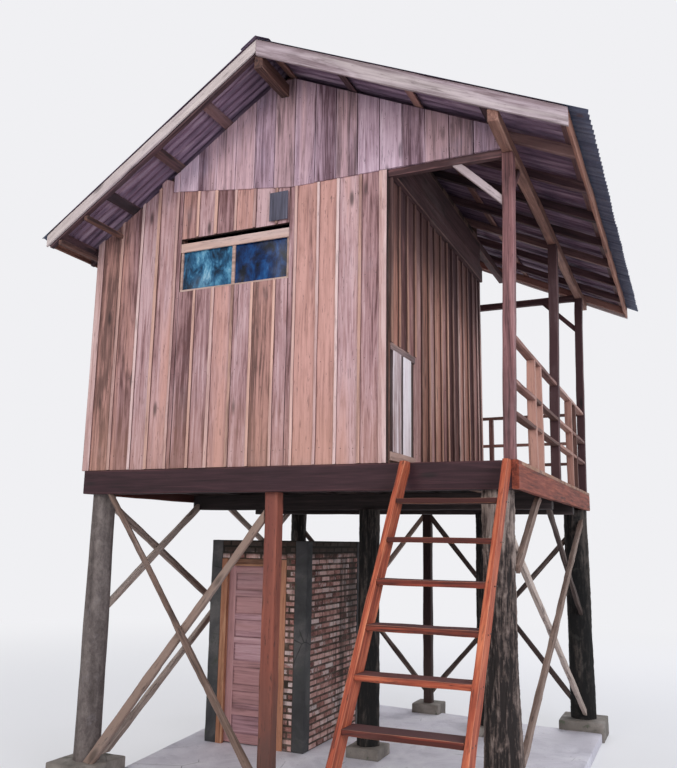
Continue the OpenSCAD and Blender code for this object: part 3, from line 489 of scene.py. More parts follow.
class Shape:
    """Points and faces of one piece, with each point's place along its own grain and its tone"""

    def __init__(self, seed):
        self.rng = np.random.default_rng(seed)
        self.v, self.gr, self.tone, self.faces = [], [], [], []
        self.n = 0

    def add(self, verts, faces, gr, tone):
        verts = np.reshape(verts, (-1, 3))
        self.faces += [np.atleast_2d(f) + self.n for f in faces]
        self.v.append(verts)
        self.gr.append(np.broadcast_to(np.reshape(gr, (-1, 3)), verts.shape))
        self.tone.append(np.broadcast_to(np.reshape(tone, (-1, 4)), (len(verts), 4)))
        self.n += len(verts)

    def tones(self):
        return self.rng.random(), self.rng.random()

    def offset(self):
        """A place of its own in the grain, for one board"""
        return self.rng.random(3) * 40

    def make(self, name, material, slot, replaces=(), body="house", sharp=38.0):
        me = bpy.data.meshes.new(name)
        v = np.clip(np.concatenate(self.v), *cad_box)
        sizes = np.concatenate([np.full(len(f), f.shape[1]) for f in self.faces])
        flat = np.concatenate([f.ravel() for f in self.faces])
        me.vertices.add(len(v))
        me.vertices.foreach_set("co", v.ravel())
        me.loops.add(len(flat))
        me.loops.foreach_set("vertex_index", flat)
        me.polygons.add(len(sizes))
        me.polygons.foreach_set("loop_start", np.concatenate([[0], np.cumsum(sizes)[:-1]]))
        me.polygons.foreach_set("loop_total", sizes)
        for key, kind, field, values in (("gr", "FLOAT_VECTOR", "vector", self.gr),
                                         ("tone", "FLOAT_COLOR", "color", self.tone)):
            a = me.attributes.new(key, kind, "POINT")
            a.data.foreach_set(field, np.concatenate(values).astype(float).ravel())
        me.update(calc_edges=True)
        me.validate()
        me.shade_smooth()
        me.set_sharp_from_angle(angle=math.radians(sharp))
        me.materials.append(material)
        ob = placed(name, me)
        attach(ob, body)
        if replaces:
            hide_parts(*replaces)


def grid_faces(rows, cols, wrap=False):
    """Quads between rows of cols points each; wrap joins the last column to the first"""
    r = np.arange(rows - 1)[:, None] * cols
    c = np.arange(cols if wrap else cols - 1)[None, :]
    c1 = (c + 1) % cols
    return np.stack([r + c, r + c1, r + cols + c1, r + cols + c], -1).reshape(-1, 4)


def sheet_faces(rows, cols):
    """Faces of a thin sheet, one grid of points above another: its two skins, and the rims between them"""
    f, m = grid_faces(rows, cols), rows * cols
    r, c = np.arange(rows - 1) * cols, np.arange(cols - 1)
    last = (rows - 1) * cols
    pairs = ((r, r + cols), (r + 2 * cols - 1, r + cols - 1), (c + 1, c), (last + c, last + c + 1))
    return [f, f[:, ::-1] + m], [xyz(a, a + m, b + m, b) for a, b in pairs]


def flipped(faces):
    return [f[:, ::-1] for f in faces]


def plank(s, p0, p1, across, out, w, t, seg=0.25, wob=0.002, bevel=0.003, cut0=0.0, cut1=0.0, bow=0.003):
    """A board from p0 to p1 on its back face's middle line, w wide along across and t thick along out.
    cut0 and cut1 slope its ends: how far the end moves along the board for each metre across it."""
    p0, p1 = floats(p0, p1)
    length = np.linalg.norm(p1 - p0)
    along, across, out = unit(p1 - p0), unit(across), unit(out)
    n = max(2, int(math.ceil(length / seg)) + 1)
    h, b = w / 2, min(bevel, w / 4, t / 3)
    ring_a, ring_o = np.array([[-h, 0], [-h, t - b], [-h + b, t], [h - b, t], [h, t - b], [h, 0]]).T
    k = np.linspace(0, 1, n)[:, None]
    x = k * length
    seed = int(s.rng.integers(1 << 30))
    edge = smooth(xyz(x * 4, np.sign(ring_a) * 7, 0), seed) * wob
    a = ring_a + edge
    o = ring_o + np.where(ring_o > 0, smooth_line(x * 0.8, seed + 5) * bow * 0.5 + edge * 0.4, 0)
    u = cut0 * a + k * (length + cut1 * a - cut0 * a)
    v = p0 + u[..., None] * along + a[..., None] * across + o[..., None] * out
    faces = [grid_faces(n, 6, True), np.arange(5, -1, -1)[None], (n - 1) * 6 + np.arange(6)[None]]
    if np.dot(np.cross(across, out), along) >= 0:
        faces = flipped(faces)
    s.add(v, faces, xyz(u, a, o) + s.offset(), xyz(*s.tones(), a / h, (ring_o - t / 2) / (t / 2)))


def board(s, lo, hi, axis, **kw):
    """A plank that fills a box, with its face to the front and its grain along axis"""
    lo, hi = floats(lo, hi)
    along, out = np.eye(3)["xyz".index(axis)], np.array([0, -1.0, 0])
    across = np.cross(along, out)
    mid = (lo + hi) / 2
    mid[1] = hi[1]
    half = along * np.dot(hi - lo, along) / 2
    wide = abs(np.dot(hi - lo, across))
    plank(s, mid - half, mid + half, across, out, wide, hi[1] - lo[1], bow=0, **kw)


def islands(node):
    """The separate solids of a CAD node, each as a bmesh with clean flat faces"""
    src = bmesh.new()
    src.from_mesh(NODES[node].data)
    bmesh.ops.remove_doubles(src, verts=src.verts, dist=1e-5)
    bmesh.ops.dissolve_limit(src, angle_limit=math.radians(1.0), verts=src.verts, edges=src.edges)
    src.verts.ensure_lookup_table()
    seen = set()
    for v in src.verts:
        if v.index in seen:
            continue
        stack, group = [v], []
        seen.add(v.index)
        while stack:
            w = stack.pop()
            group.append(w)
            for e in w.link_edges:
                x = e.other_vert(w)
                if x.index not in seen:
                    seen.add(x.index)
                    stack.append(x)
        faces = {f for w in group for f in w.link_faces}
        bm = bmesh.new()
        index = {w.index: bm.verts.new(w.co) for w in group}
        for f in sorted(faces, key=lambda f: f.index):
            bm.faces.new([index[w.index] for w in f.verts])
        bm.normal_update()
        yield bm
    src.free()


def grain_axes(bm):
    """The solid's long direction and two square to it"""
    c = np.zeros((3, 3))
    for e in bm.edges:
        d = np.array(e.verts[1].co - e.verts[0].co)
        c += np.outer(d, d) * np.linalg.norm(d)
    a = np.linalg.eigh(c)[1][:, 2]
    side = np.cross(a, [0, 0, 1]) if abs(a[2]) < 0.9 else np.array([1.0, 0, 0])
    side = unit(side - a * np.dot(side, a))
    return a, side, np.cross(a, side)


def carve(s, bm, cut=0.15, cut_side=None, bevel=0.004, wob=0.0015, bend=0.003, grit=0.0, grit_size=20.0,
          segments=1, every=False, pick=None, swell=0.0):
    """Adds a CAD solid with softened edges, cross cuts and the unevenness of timber or cast stone. pick
    gives the tones for a solid's middle, else they are drawn. swell is how much thicker its foot is."""
    a, b, c = grain_axes(bm)

    def soft(e):
        if len(e.link_faces) != 2 or e.calc_face_angle(0) <= 0.5:
            return False
        run = np.array((e.verts[1].co - e.verts[0].co).normalized())
        return every or len(bm.edges) <= 12 or abs(np.dot(run, a)) > 0.98

    if bevel:
        bmesh.ops.bevel(bm, geom=[e for e in bm.edges if soft(e)], offset=bevel, offset_type="OFFSET",
                        segments=segments, profile=0.5, affect="EDGES", clamp_overlap=True)
    for axis, gap in ((a, cut), (b, cut_side), (c, cut_side)):
        if not gap:
            continue
        x = [np.dot(np.array(v.co), axis) for v in bm.verts]
        lo, hi = min(x), max(x)
        n = int(round((hi - lo) / gap))
        for i in range(1, n):
            bmesh.ops.bisect_plane(bm, geom=bm.verts[:] + bm.edges[:] + bm.faces[:], dist=1e-6,
                                   plane_co=Vector(axis * (lo + (hi - lo) * i / n)), plane_no=Vector(axis))
    bm.normal_update()
    for i, v in enumerate(bm.verts):
        v.index = i
    v = np.array([w.co for w in bm.verts])
    nrm = np.array([w.normal for w in bm.verts])
    p = xyz(v @ a, v @ b, v @ c)
    lo, hi = p.min(0), p.max(0)
    mid, half = (lo + hi) / 2, np.maximum((hi - lo) / 2, 1e-4)
    away = p - mid
    if swell:
        low = ((hi[0] - p[:, 0]) if a[2] > 0 else (p[:, 0] - lo[0])) / (hi[0] - lo[0])
        grow = swell * np.clip(low * 1.4 - 0.4, 0, 1)
        v = v + (grow * away[:, 1])[:, None] * b + (grow * away[:, 2])[:, None] * c
    seed = int(s.rng.integers(1 << 30))
    ends = np.minimum((p[:, 0] - lo[0]) / 0.15, (hi[0] - p[:, 0]) / 0.15).clip(0, 1)
    for k, axis in enumerate((b, c)):
        v = v + (smooth_line(p[:, 0] * 0.9, seed + k) * bend * ends)[:, None] * axis
    edge = xyz(p[:, 0] * 5, np.sign(away[:, 1]) * 3, np.sign(away[:, 2]) * 5)
    v = v + (smooth(edge, seed + 2) * wob)[:, None] * nrm
    if grit:
        v = v + (rough(p * grit_size, seed + 3) * grit)[:, None] * nrm
    gr = p - lo + s.offset()
    r1, r2 = s.tones()
    if pick:
        r1, r2 = pick(v.mean(0), r1, r2)
    t = away / half
    s.add(v, [[w.index for w in f.verts] for f in bm.faces], gr, xyz(r1, r2, t[:, 1], t[:, 2]))
    bm.free()


def log(s, at, radii, z0, z1, around, rows, furrow, lump, furrowed, seed):
    """A standing log: radii gives (height, radius) pairs; furrow and lump are depths of bark and bulges"""
    angle, z = np.meshgrid(np.linspace(0, 2 * math.pi, around, endpoint=False), np.linspace(z0, z1, rows))
    radius = np.interp(z, *zip(*radii))
    x, y = np.cos(angle), np.sin(angle)

    def places(wide, high):
        return xyz(x * wide, y * wide, z * high)

    r = radius + lump * rough(places(1, 0.9) * 1.4, seed, 3)
    if furrowed:
        q = places(5.5, 4.8)
        q = q + 0.6 * xyz(smooth(q * 0.7, seed + 40), smooth(q * 0.7, seed + 41), 0)
        crest = 1 - np.abs(rough(q, seed + 9, 3, 0.55))
        r = r + furrow * (crest ** 2 - 0.6) + furrow * 0.35 * rough(q * 3.1, seed + 21, 2)
    else:
        r = r + furrow * rough(places(3, 1.1), seed + 9, 4, 0.55)
    bow = 0.35 * lump * np.sin(np.pi * (z - z0) / (z1 - z0))
    drift_x, drift_y = (bow * smooth_line(z * 0.8, seed + i) for i in (2, 3))
    v = xyz(at[0] + drift_x + x * r, at[1] + drift_y + y * r, z)
    ring = np.arange(around)
    faces = [grid_faces(rows, around, True), ring[::-1], (rows - 1) * around + ring]
    s.add(v, faces, xyz(z, x * 0.12, y * 0.12) + s.offset(), xyz(*s.tones(), (r - radius) / furrow, 0))


def heads(name, seed, groups):
    """One piece of small domed heads. Each group is (places, the way the face looks, radius, height)."""
    s = Shape(seed)
    turn = np.arange(8)
    angle = turn[:, None] * math.pi / 4
    faces = [grid_faces(2, 8, True), xyz(8 + turn, 8 + (turn + 1) % 8, 16)]
    for places, out, r, h in groups:
        out = unit(out)
        side = unit(np.cross(out, [0.3, 0.5, 0.8]))
        ring = np.cos(angle) * side + np.sin(angle) * np.cross(out, side)
        base = np.concatenate([ring * r - out * 0.002, ring * r * 0.8 + out * h * 0.7, out[None] * h])
        for p in places:
            tone = (*s.tones(), 0, 0)
            s.add(base + np.array(p), faces, s.offset(), tone)
    s.make(name, iron_skin, "hinge_metal")


def clad(material, *nodes):
    """Gives CAD nodes that stay in view their material"""
    for node in nodes:
        for slot in NODES[node].material_slots:
            slot.material = material


camera()
surroundings()


# ---- places taken from the CAD boxes

def span(node):
    return floats(*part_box(node))


RIDGE_X, RIDGE_Z = -0.025, 6.31
LEFT_SLOPE, RIGHT_SLOPE = math.tan(math.radians(34)), math.tan(math.radians(25.2))
RAFTER_DEPTH, PURLIN_DEPTH = 0.1052, 0.03


def slope(x):
    return LEFT_SLOPE if x < RIDGE_X else RIGHT_SLOPE


def roof(x):
    """Height of the purlins' tops"""
    return RIDGE_Z - slope(x) * abs(x - RIDGE_X)


def under_rafters(x):
    return roof(x) - RAFTER_DEPTH * math.hypot(1, slope(x))


deck_z = span("floor_boards")[1][2]
wall_lo, wall_hi = span("front_wall")
room_x0, room_x1, wall_y = wall_lo[0], wall_hi[0], wall_lo[1]
room_y1 = span("rear_wall")[1][1]
gable_lo, gable_hi = span("gable_boards")
win_lo, win_hi = span("window_frame")
rear_door_lo, rear_door_hi = span("upper_door")
LEDGER_Z, LEDGER_T = 5.114, 0.06


# ---- skins

skins = {
    # sides: painted shade on the boards' thickness faces
    "wall": wood("wall_wood", (96, 62, 62), (161, 123, 124), (196, 162, 164), (172, 125, 112), 0.4, grey=0.3,
                 grey_colour=(152, 132, 138), contrast=1.75, knot=0.8, crack=0.6, bump=0.7, tone=0.2,
                 flecks=0.65, foot=(2.7, 3.6, (180, 134, 112), 0.3), sides=((70, 42, 40), 0.85)),
    # foot here darkens the top of the porch wall: painted shade under the eaves
    "side_wall": wood("porch_wall_wood", (78, 44, 44), (152, 106, 101), (200, 160, 153), (170, 118, 98),
                      contrast=1.4, foot=(4.9, 4.1, (58, 36, 40), 0.75)),
    # sides: painted shade on the battens' thickness faces
    "batten": wood("batten_wood", (124, 90, 85), (186, 149, 144), (218, 190, 186), (190, 148, 130),
                   tone=0.3, knot=0.3, sides=((84, 50, 46), 0.85)),
    # sides and foot: painted shade on the battens' sides, and at their tops under the eaves
    "side_batten": wood("porch_batten_wood", (96, 64, 58), (168, 126, 114), (206, 170, 158), (180, 132, 106),
                        sides=((58, 34, 34), 0.85), foot=(4.9, 4.1, (66, 42, 46), 0.75)),
    # A mauve wood, made paler and more violet than the boards are: a painted haze of flare light
    "gable": wood("gable_wood", (94, 66, 76), (173, 143, 157), (210, 184, 197), (180, 145, 148), grey=0.35,
                  grey_colour=(154, 140, 162), contrast=1.4, tone=0.2, flecks=0.55),
    "pale": wood("pale_wood", (98, 78, 78), (178, 152, 148), (208, 186, 180), (180, 146, 130), grey=0.3),
    # sides: painted shade in the slots beside the boards
    "patch": wood("patch_wood", (150, 118, 114), (246, 234, 236), (252, 246, 246), (150, 120, 112), 0.2,
                  grey=0.1, flecks=0.3, knot=0.9, tone=0.3, sides=((64, 40, 38), 0.9)),
    "barge": wood("barge_wood", (118, 98, 102), (182, 164, 170), (216, 202, 206), (180, 168, 162), grey=0.3,
                  tone=0.2),
    "fascia": wood("fascia_wood", (84, 50, 42), (156, 108, 90), (192, 150, 130), (166, 112, 80)),
    "maroon": wood("beam_wood", (20, 6, 10), (48, 15, 25), (76, 34, 40), grey=0.1, grey_colour=(66, 40, 54),
                   contrast=0.8, edge=0.3, edge_colour=(104, 62, 62), flecks=0.3),
    "orange": wood("side_beam_wood", (60, 22, 16), (138, 62, 38), (178, 96, 60), (110, 44, 30), grey=0.06,
                   contrast=1.5, flecks=0.6),
    "dark": wood("under_wood", (18, 12, 12), (42, 30, 30), (74, 58, 54), grey=0.2, grey_colour=(84, 76, 74)),
    "floor": wood("floor_wood", (84, 56, 46), (146, 108, 90), (182, 146, 126), (152, 110, 84), grey=0.4,
                  edge=0.1, tone=0.15),
    "red": wood("red_post_wood", (34, 11, 9), (103, 43, 33), (160, 90, 68), (80, 31, 27), grey=0.7,
                grey_colour=(54, 28, 25), contrast=2.4, flecks=0.8, foot=(0.2, 1.5, (72, 55, 50), 0.8)),
    "porch": wood("porch_wood", (64, 38, 40), (126, 84, 84), (168, 126, 124), (168, 158, 160), 0.1,
                  grey=0.3, grey_colour=(140, 116, 118), knot=0.95, contrast=1.4, flecks=0.6),
    "rail": wood("rail_wood", (84, 52, 46), (138, 98, 90), (176, 138, 126), (148, 106, 92), grey=0.3,
                 contrast=1.4, edge=0.25, top=((196, 160, 142), 0.6)),
    # top: painted shade on the treads' upper faces
    "ladder": wood("ladder_wood", (60, 20, 14), (154, 68, 42), (204, 116, 78), (126, 46, 30), grey=0.06,
                   edge=0.55, edge_colour=(220, 150, 112), top=((74, 46, 48), 0.85), contrast=1.5, tone=0.4,
                   flecks=0.7),
    "brace": wood("brace_wood", (66, 52, 47), (128, 110, 101), (186, 168, 156), (104, 80, 68), grey=0.4,
                  grey_colour=(160, 150, 144), contrast=1.7, crack=0.8, rough=0.85, flecks=0.75),
    "rafter": wood("rafter_wood", (34, 20, 25), (76, 49, 54), (124, 92, 88), (158, 116, 102), 0.1,
                   grey=0.2, grey_colour=(104, 90, 104), edge=0.5),
    "plate": wood("plate_wood", (48, 28, 28), (124, 86, 74), (170, 128, 110), (64, 40, 50), 0.3, grey=0.2),
    "jamb": wood("jamb_wood", (92, 56, 38), (174, 124, 92), (212, 172, 138), (150, 92, 66), grey=0.15,
                 contrast=1.4),
    "door": wood("door_wood", (92, 58, 62), (176, 135, 141), (206, 171, 174), (166, 121, 119), grey=0.2,
                 contrast=0.9, knot=0.2, crack=0.2, tone=0.12, flecks=0.2),
    "inner": wood("inner_wood", (26, 17, 15), (64, 43, 37), (104, 78, 66), grey=0.2, boards=0.2035),
    "grey": wood("grey_panel_wood", (44, 42, 52), (84, 82, 98), (120, 118, 132), grey=0.3),
    "smooth": bark("smooth_log_skin", (66, 58, 55), (97, 87, 84), (128, 117, 112), (116, 108, 110), 0.3,
                   True, 0.8),
    "bark": bark("rough_bark", (34, 27, 25), (90, 76, 70), (138, 122, 113), (98, 88, 82), 0.12),
    "rear_bark": bark("dark_bark", (11, 9, 9), (33, 28, 25), (68, 59, 53), (56, 53, 49), 0.2),
    "slab": concrete("slab_skin", (198, 194, 203), (231, 227, 235), (246, 244, 248), (206, 201, 210), 0.35),
    "footing": concrete("footing_skin", (84, 78, 72), (134, 126, 118), (176, 168, 160), (104, 94, 86),
                        0.7, 0.2),
    "column": concrete("column_skin", (36, 36, 37), (68, 67, 68), (106, 102, 100), (44, 45, 45), 0.8, 0.2,
                       (58, 64, 52)),
    "roof": roof_skin(-2.17, 2.486),
}
iron_skin = iron()


# ---- boarded walls

NAIL_HEAD = (0.0042, 0.0016)
BOARD_T, BOARD_STEP = 0.012, 0.2035


def board_wall(names, seed, start, run, out, edges, top, hole=None, boards="wall", battens="batten",
               batten_t=0.016, batten_w=0.028, corners=(0.07, 0.03), batten_top=None):
    """Upright boards between the places in edges along run from start, with battens over their joints
    and nails. top(x) is the height at a place along the run, and hole is (x0, x1, z0, z1)."""
    base = deck_z + 0.002
    batten_top = batten_top or top
    b, s, nails = Shape(seed), Shape(seed + 1), []
    start, run, out = floats(start, run, out)

    def drawn(shape, size):
        return size * shape.rng.random()

    def piece(shape, x, w, z0, z1, thick, off, **kw):
        up = top if shape is b else batten_top
        k = (up(x + w / 4) - up(x - w / 4)) / (w / 2) if z1 is None else 0.0
        z1 = up(x) if z1 is None else z1
        if z1 - z0 < 0.03:
            return
        o = start + run * x + out * off
        plank(shape, o + UP * z0, o + UP * z1, run, out, w, thick, cut1=k, bow=0.004, **kw)

    def parts(x0, x1):
        if hole and x1 > hole[0] + 0.004 and x0 < hole[1] - 0.004:
            return [(base, hole[2]), (hole[3], None)]
        return [(base, None)]

    for x0, x1 in zip(edges[:-1], edges[1:]):
        cuts = sorted({x0, x1} | {h for h in (hole or ())[:2] if x0 < h < x1})
        for c, d in zip(cuts[:-1], cuts[1:]):
            mid, w = (c + d) / 2, d - c - 0.0015 - drawn(b, 0.0025)
            for z0, z1 in parts(c, d):
                piece(b, mid, w, z0 + drawn(b, 0.003), z1, BOARD_T - 0.001 - drawn(b, 0.002), 0.0,
                      seg=0.22, wob=0.0022)
                for z in np.arange(z0 + 0.12, (z1 or top(mid)) - 0.05, 0.72):
                    for x in (c + (d - c) * 0.24, c + (d - c) * 0.76):
                        if z < top(x) - 0.04:
                            high = UP * (z + drawn(b, 0.02))
                            nails.append(start + run * x + out * (BOARD_T - 0.002) + high)
    for i, x in enumerate(edges):
        first, last = i == 0, i == len(edges) - 1
        w = corners[0] if first else corners[1] if last else batten_w * (0.85 + drawn(s, 0.3))
        at = x + w / 2 - 0.002 if first else x - w / 2 + 0.002 if last else x
        for z0, z1 in parts(at - w / 2, at + w / 2):
            piece(s, at, w, z0 + drawn(s, 0.004), z1, batten_t * (0.85 + drawn(s, 0.3)), BOARD_T - 0.003,
                  seg=0.16, wob=0.0025, bevel=0.002)
    b.make(names[0], skins[boards], "wall_timber")
    s.make(names[1], skins[battens], "wall_timber")
    heads(names[0] + "_nails", seed + 2, [(nails, out, *NAIL_HEAD)])


gable_points = [v.co for v in NODES["gable_boards"].data.vertices]
gable_left_z = min(p.z for p in gable_points if p.x < gable_lo[0] + 0.01)


def gable_low(x):
    """Height of the gable boards' lower edge, which rises to the left of the window's right side"""
    return gable_lo[2] + max(0.0, win_hi[0] - x) / (win_hi[0] - gable_lo[0]) * (gable_left_z - gable_lo[2])


def wall_top(x):
    return roof(x) - PURLIN_DEPTH * math.hypot(1, LEFT_SLOPE) - 0.004


board_wall(("front_wall_boards", "front_battens"), 11, (0, wall_y, 0), (1, 0, 0), (0, -1, 0),
           [room_x0 - 0.008, -1.746, -1.517, -1.329, -1.118, -0.888, -0.694, -0.487, -0.288, -0.066, 0.13,
            0.344, 0.528, 0.736, 0.92, room_x1 - 0.006],
           lambda x: gable_low(x) + 0.05 if x > gable_lo[0] else wall_top(x),
           (win_lo[0], win_hi[0], win_lo[2], win_hi[2] + 0.045), corners=(0.07, 0.042),
           batten_top=lambda x: gable_low(x) - 0.002 if x > gable_lo[0] else wall_top(x))
board_wall(("porch_wall_boards", "porch_battens"), 21, (room_x1, 0, 0), (0, 1, 0), (1, 0, 0),
           [0.055] + [0.26 + BOARD_STEP * i for i in range(14)] + [room_y1 - 0.02],
           lambda y: LEDGER_Z - 0.002, (0.066, 0.674, deck_z, 3.69), "side_wall", "side_batten",
           batten_t=0.02, batten_w=0.038, corners=(0.035, 0.05))
board_wall(("left_wall_boards", "left_battens"), 31, (room_x0, 0, 0), (0, 1, 0), (-1, 0, 0),
           [0.02 + BOARD_STEP * i for i in range(15)] + [room_y1 - 0.01],
           lambda y: under_rafters(room_x0 - 0.01) - 0.004, corners=(0.05, 0.05))
board_wall(("rear_wall_boards", "rear_battens"), 41, (0, room_y1, 0), (1, 0, 0), (0, 1, 0),
           [room_x0 + 0.005 + 0.2127 * i for i in range(14)] + [room_x1 - 0.01], wall_top,
           (rear_door_lo[0] - 0.002, rear_door_hi[0] + 0.002, deck_z - 0.01, rear_door_hi[2] + 0.002))


def gable():
    """Gable boards side by side with open joints, and no battens"""
    s, nails = Shape(51), []
    front = gable_hi[1]
    edges = [gable_lo[0]] + list(np.arange(-1.113, 1.9, 0.2018)) + [gable_hi[0]]
    for a, b in zip(edges[:-1], edges[1:]):
        x, w = (a + b) / 2, b - a - 0.004 - 0.003 * s.rng.random()
        k = LEFT_SLOPE if x < RIDGE_X else -RIGHT_SLOPE
        low = gable_low(x) + 0.004 * s.rng.random()
        high = (roof(a) + roof(b)) / 2 - PURLIN_DEPTH * math.hypot(1, k) - 0.006
        if a < RIDGE_X < b:
            k, high = 0.0, min(roof(a), roof(b)) - 0.035
        t = 0.021 + 0.004 * s.rng.random()
        plank(s, (x, front, low), (x, front, high), (1, 0, 0), (0, -1, 0), w, t, seg=0.15, wob=0.0025,
              cut0=(gable_low(b) - gable_low(a)) / (b - a), cut1=k)
        nails += [(x + d * w, front - t + 0.001, z) for d in (-0.3, 0.3) for z in (low + 0.06, high - 0.15)]
    s.make("gable_boarding", skins["gable"], "wall_timber", ("gable_boards",))
    heads("gable_nails", 52, [(nails, (0, -1, 0), *NAIL_HEAD)])


gable()
clad(skins["inner"], "front_wall", "left_wall", "porch_wall", "rear_wall")


# ---- timbers and casts that stand for CAD nodes

beam = dict(cut=0.16, bevel=0.006, wob=0.0025)
pole = dict(cut=0.045, cut_side=0.014, bevel=0.017, segments=3, wob=0.003, bend=0.006, grit=0.0022,
            grit_size=26)
far_pole = dict(cut=0.08, bevel=0.008, segments=2, wob=0.003, bend=0.006, grit=0.0012)
rail = dict(cut=0.12, bevel=0.003, wob=0.002)
# Piece, node, skin, slot, seed, and how it is carved
TIMBERS = (
    ("front_beam_timber", "front_beam", "maroon", "maroon_timber", 61, beam),
    ("cross_beam_timbers", "cross_beams", "dark", "dark_timber", 62, beam),
    # The left side beam gets a dark tone: painted shade under the deck
    ("side_beam_timbers", "side_beams", "orange", "orange_timber", 63,
     dict(beam, pick=lambda c, a, b: (0.4, 0.45) if c[0] > 0 else (-0.8, 1.5))),
    ("joist_timbers", "joists", "dark", "dark_timber", 64, dict(cut=0.4)),
    ("squared_post_timbers", "squared_posts", "red", "red_timber", 65,
     dict(cut=0.07, cut_side=0.03, wob=0.003, grit=0.0012, grit_size=14)),
    ("front_brace_poles", "front_braces", "brace", "brace_timber", 66, dict(pole, swell=0.4)),
    ("side_brace_poles", "side_braces", "brace", "brace_timber", 67, far_pole),
    ("rear_brace_poles", "rear_braces", "brace", "brace_timber", 68, far_pole),
    ("stud_timbers", "studs", "plate", "frame_timber", 69, dict(cut=0.5)),
    ("porch_post_timbers", "porch_posts", "porch", "porch_timber", 70,
     dict(cut=0.09, bevel=0.005, wob=0.0025, bend=0.005, grit=0.0006,
          pick=lambda c, a, b: ((0.4, b * 0.3) if c[1] < 0.6 else (-0.7 if c[1] < 3.0 else -0.1, 0.0)))),
    ("porch_tie_timbers", "porch_ties", "porch", "porch_timber", 71,
     dict(cut=0.12, wob=0.002,
          pick=lambda c, a, b: ((0.8, 1.6) if 1.2 < c[0] < 1.9 and c[1] < 0.3 and c[2] < 5.15
                                else (a * 0.4, 0.0)))),
    ("plate_timbers", "plates", "plate", "frame_timber", 72,
     dict(cut=0.16, bevel=0.005, wob=0.0025,
          pick=lambda c, a, b: (0.3, 1.6) if 0.9 < c[0] < 1.2 else (0.5 if c[0] > 1.2 else 0.1, 0.0))),
    ("rafter_timbers", "rafters", "rafter", "frame_timber", 73,
     dict(cut=0.14, wob=0.0035, bend=0.005, pick=lambda c, a, b: (0.7, 1.6) if c[1] > 4.4 else (a, 0.0))),
    ("purlin_timbers", "purlins", "rafter", "frame_timber", 74, dict(cut=0.25, bevel=0.003, wob=0.002)),
    ("bargeboard_timbers", "bargeboards", "barge", "pale_timber", 75, dict(cut=0.12, wob=0.003)),
    ("eave_board_timbers", "eave_boards", "fascia", "pale_timber", 76, dict(cut=0.09, wob=0.006, bend=0.004)),
    ("side_rails", "side_railing", "rail", "porch_timber", 77, rail),
    ("rear_rails", "rear_railing", "rail", "porch_timber", 78, rail),
    ("ladder_stringers", "stringers", "ladder", "ladder_timber", 80,
     dict(cut=0.1, bevel=0.005, wob=0.003, pick=lambda c, a, b: (0.55, 0.3))),
    # The top tread gets the darkest tone: painted shade from the deck above it
    ("ladder_treads", "treads", "ladder", "ladder_timber", 81,
     dict(cut=0.09, cut_side=0.045, bevel=0.005, wob=0.002,
          pick=lambda c, a, b: (0.15 + a * 0.35, b) if c[2] < 2.3 else (-1.0, 0.0))),
    ("window_frame_timber", "window_frame", "pale", "pale_timber", 82,
     dict(cut=0.1, bevel=0.002, wob=0.0008, bend=0)),
    ("column_casts", "columns", "column", "column_concrete", 83,
     dict(cut=0.05, cut_side=0.026, bevel=0.006, bend=0.002, grit=0.0018, grit_size=18)),
    ("slab_cast", "slab", "slab", "concrete", 84,
     dict(cut=0.12, cut_side=0.12, bevel=0.012, segments=2, bend=0, wob=0, grit=0.0016, grit_size=7,
          every=True)),
    ("footing_casts", "footings", "footing", "footing_concrete", 85,
     dict(cut=0.05, cut_side=0.05, bevel=0.012, segments=2, bend=0.001, grit=0.0026, grit_size=14,
          every=True)),
)
for piece, node, skin, slot, seed, how in TIMBERS:
    s = Shape(seed)
    for bm in islands(node):
        carve(s, bm, **how)
    s.make(piece, skins[skin], slot, (node,))


def patch():
    """Two bleached boards between a sill and a cap on the porch wall"""
    boards, rails = Shape(79), Shape(89)
    lo, hi = span("wall_patch")
    sill, cap, wide, t = 0.07, 0.06, 0.195, hi[0] - lo[0]
    for z, high in ((lo[2] + sill / 2, sill), (hi[2] - cap / 2, cap)):
        plank(rails, (lo[0], lo[1], z), (lo[0], hi[1], z), (0, 0, 1), (1, 0, 0), high, t, seg=0.1)
    for y in (lo[1] + 0.1425, lo[1] + 0.3975):
        plank(boards, (lo[0], y, lo[2] + sill), (lo[0], y, hi[2] - cap), (0, 1, 0), (1, 0, 0), wide,
              t - 0.001, seg=0.1)
    boards.make("wall_patch_boards", skins["patch"], "pale_timber", ("wall_patch",))
    rails.make("wall_patch_rails", skins["pale"], "pale_timber")


patch()
heads("ledger_nails", 90, [([(room_x1 + LEDGER_T, y, LEDGER_Z + h) for y in np.arange(0.3, 3.0, 0.42)
                             for h in (0.05, 0.14)], (1, 0, 0), 0.006, 0.002)])


def ladder_nails():
    """Nail heads where the treads meet the stringers"""
    lo, hi = span("stringers")
    tread_lo, tread_hi = span("treads")
    groups = []
    for i in range(9):
        z = tread_hi[2] - 0.277 * i - 0.02
        y = tread_lo[1] + (z - tread_lo[2]) * (tread_hi[1] - tread_lo[1]) / (tread_hi[2] - tread_lo[2])
        for x, out in ((lo[0], -1), (hi[0], 1)):
            groups.append(([(x, y - 0.06 * k, z - 0.006) for k in (-0.4, 0.6)], (out, 0, 0), 0.006, 0.003))
    heads("ladder_nails", 92, groups)


ladder_nails()


def floor():
    s, count = Shape(91), 34
    lo, hi = span("floor_boards")
    step = (hi[1] - lo[1]) / count
    for i in range(count):
        y = lo[1] + (i + 0.5) * step
        left, right, drop = s.rng.random(3) * (0.004, 0.001, 0.001)
        plank(s, (lo[0] + left, y, lo[2]), (hi[0] - right, y, lo[2]), (0, 1, 0), UP, step - 0.0012,
              hi[2] - lo[2] - drop, seg=0.3, wob=0.0005, bow=0.0006)
    s.make("floor_planks", skins["floor"], "floor_timber", ("floor_boards",))


floor()


# ---- logs

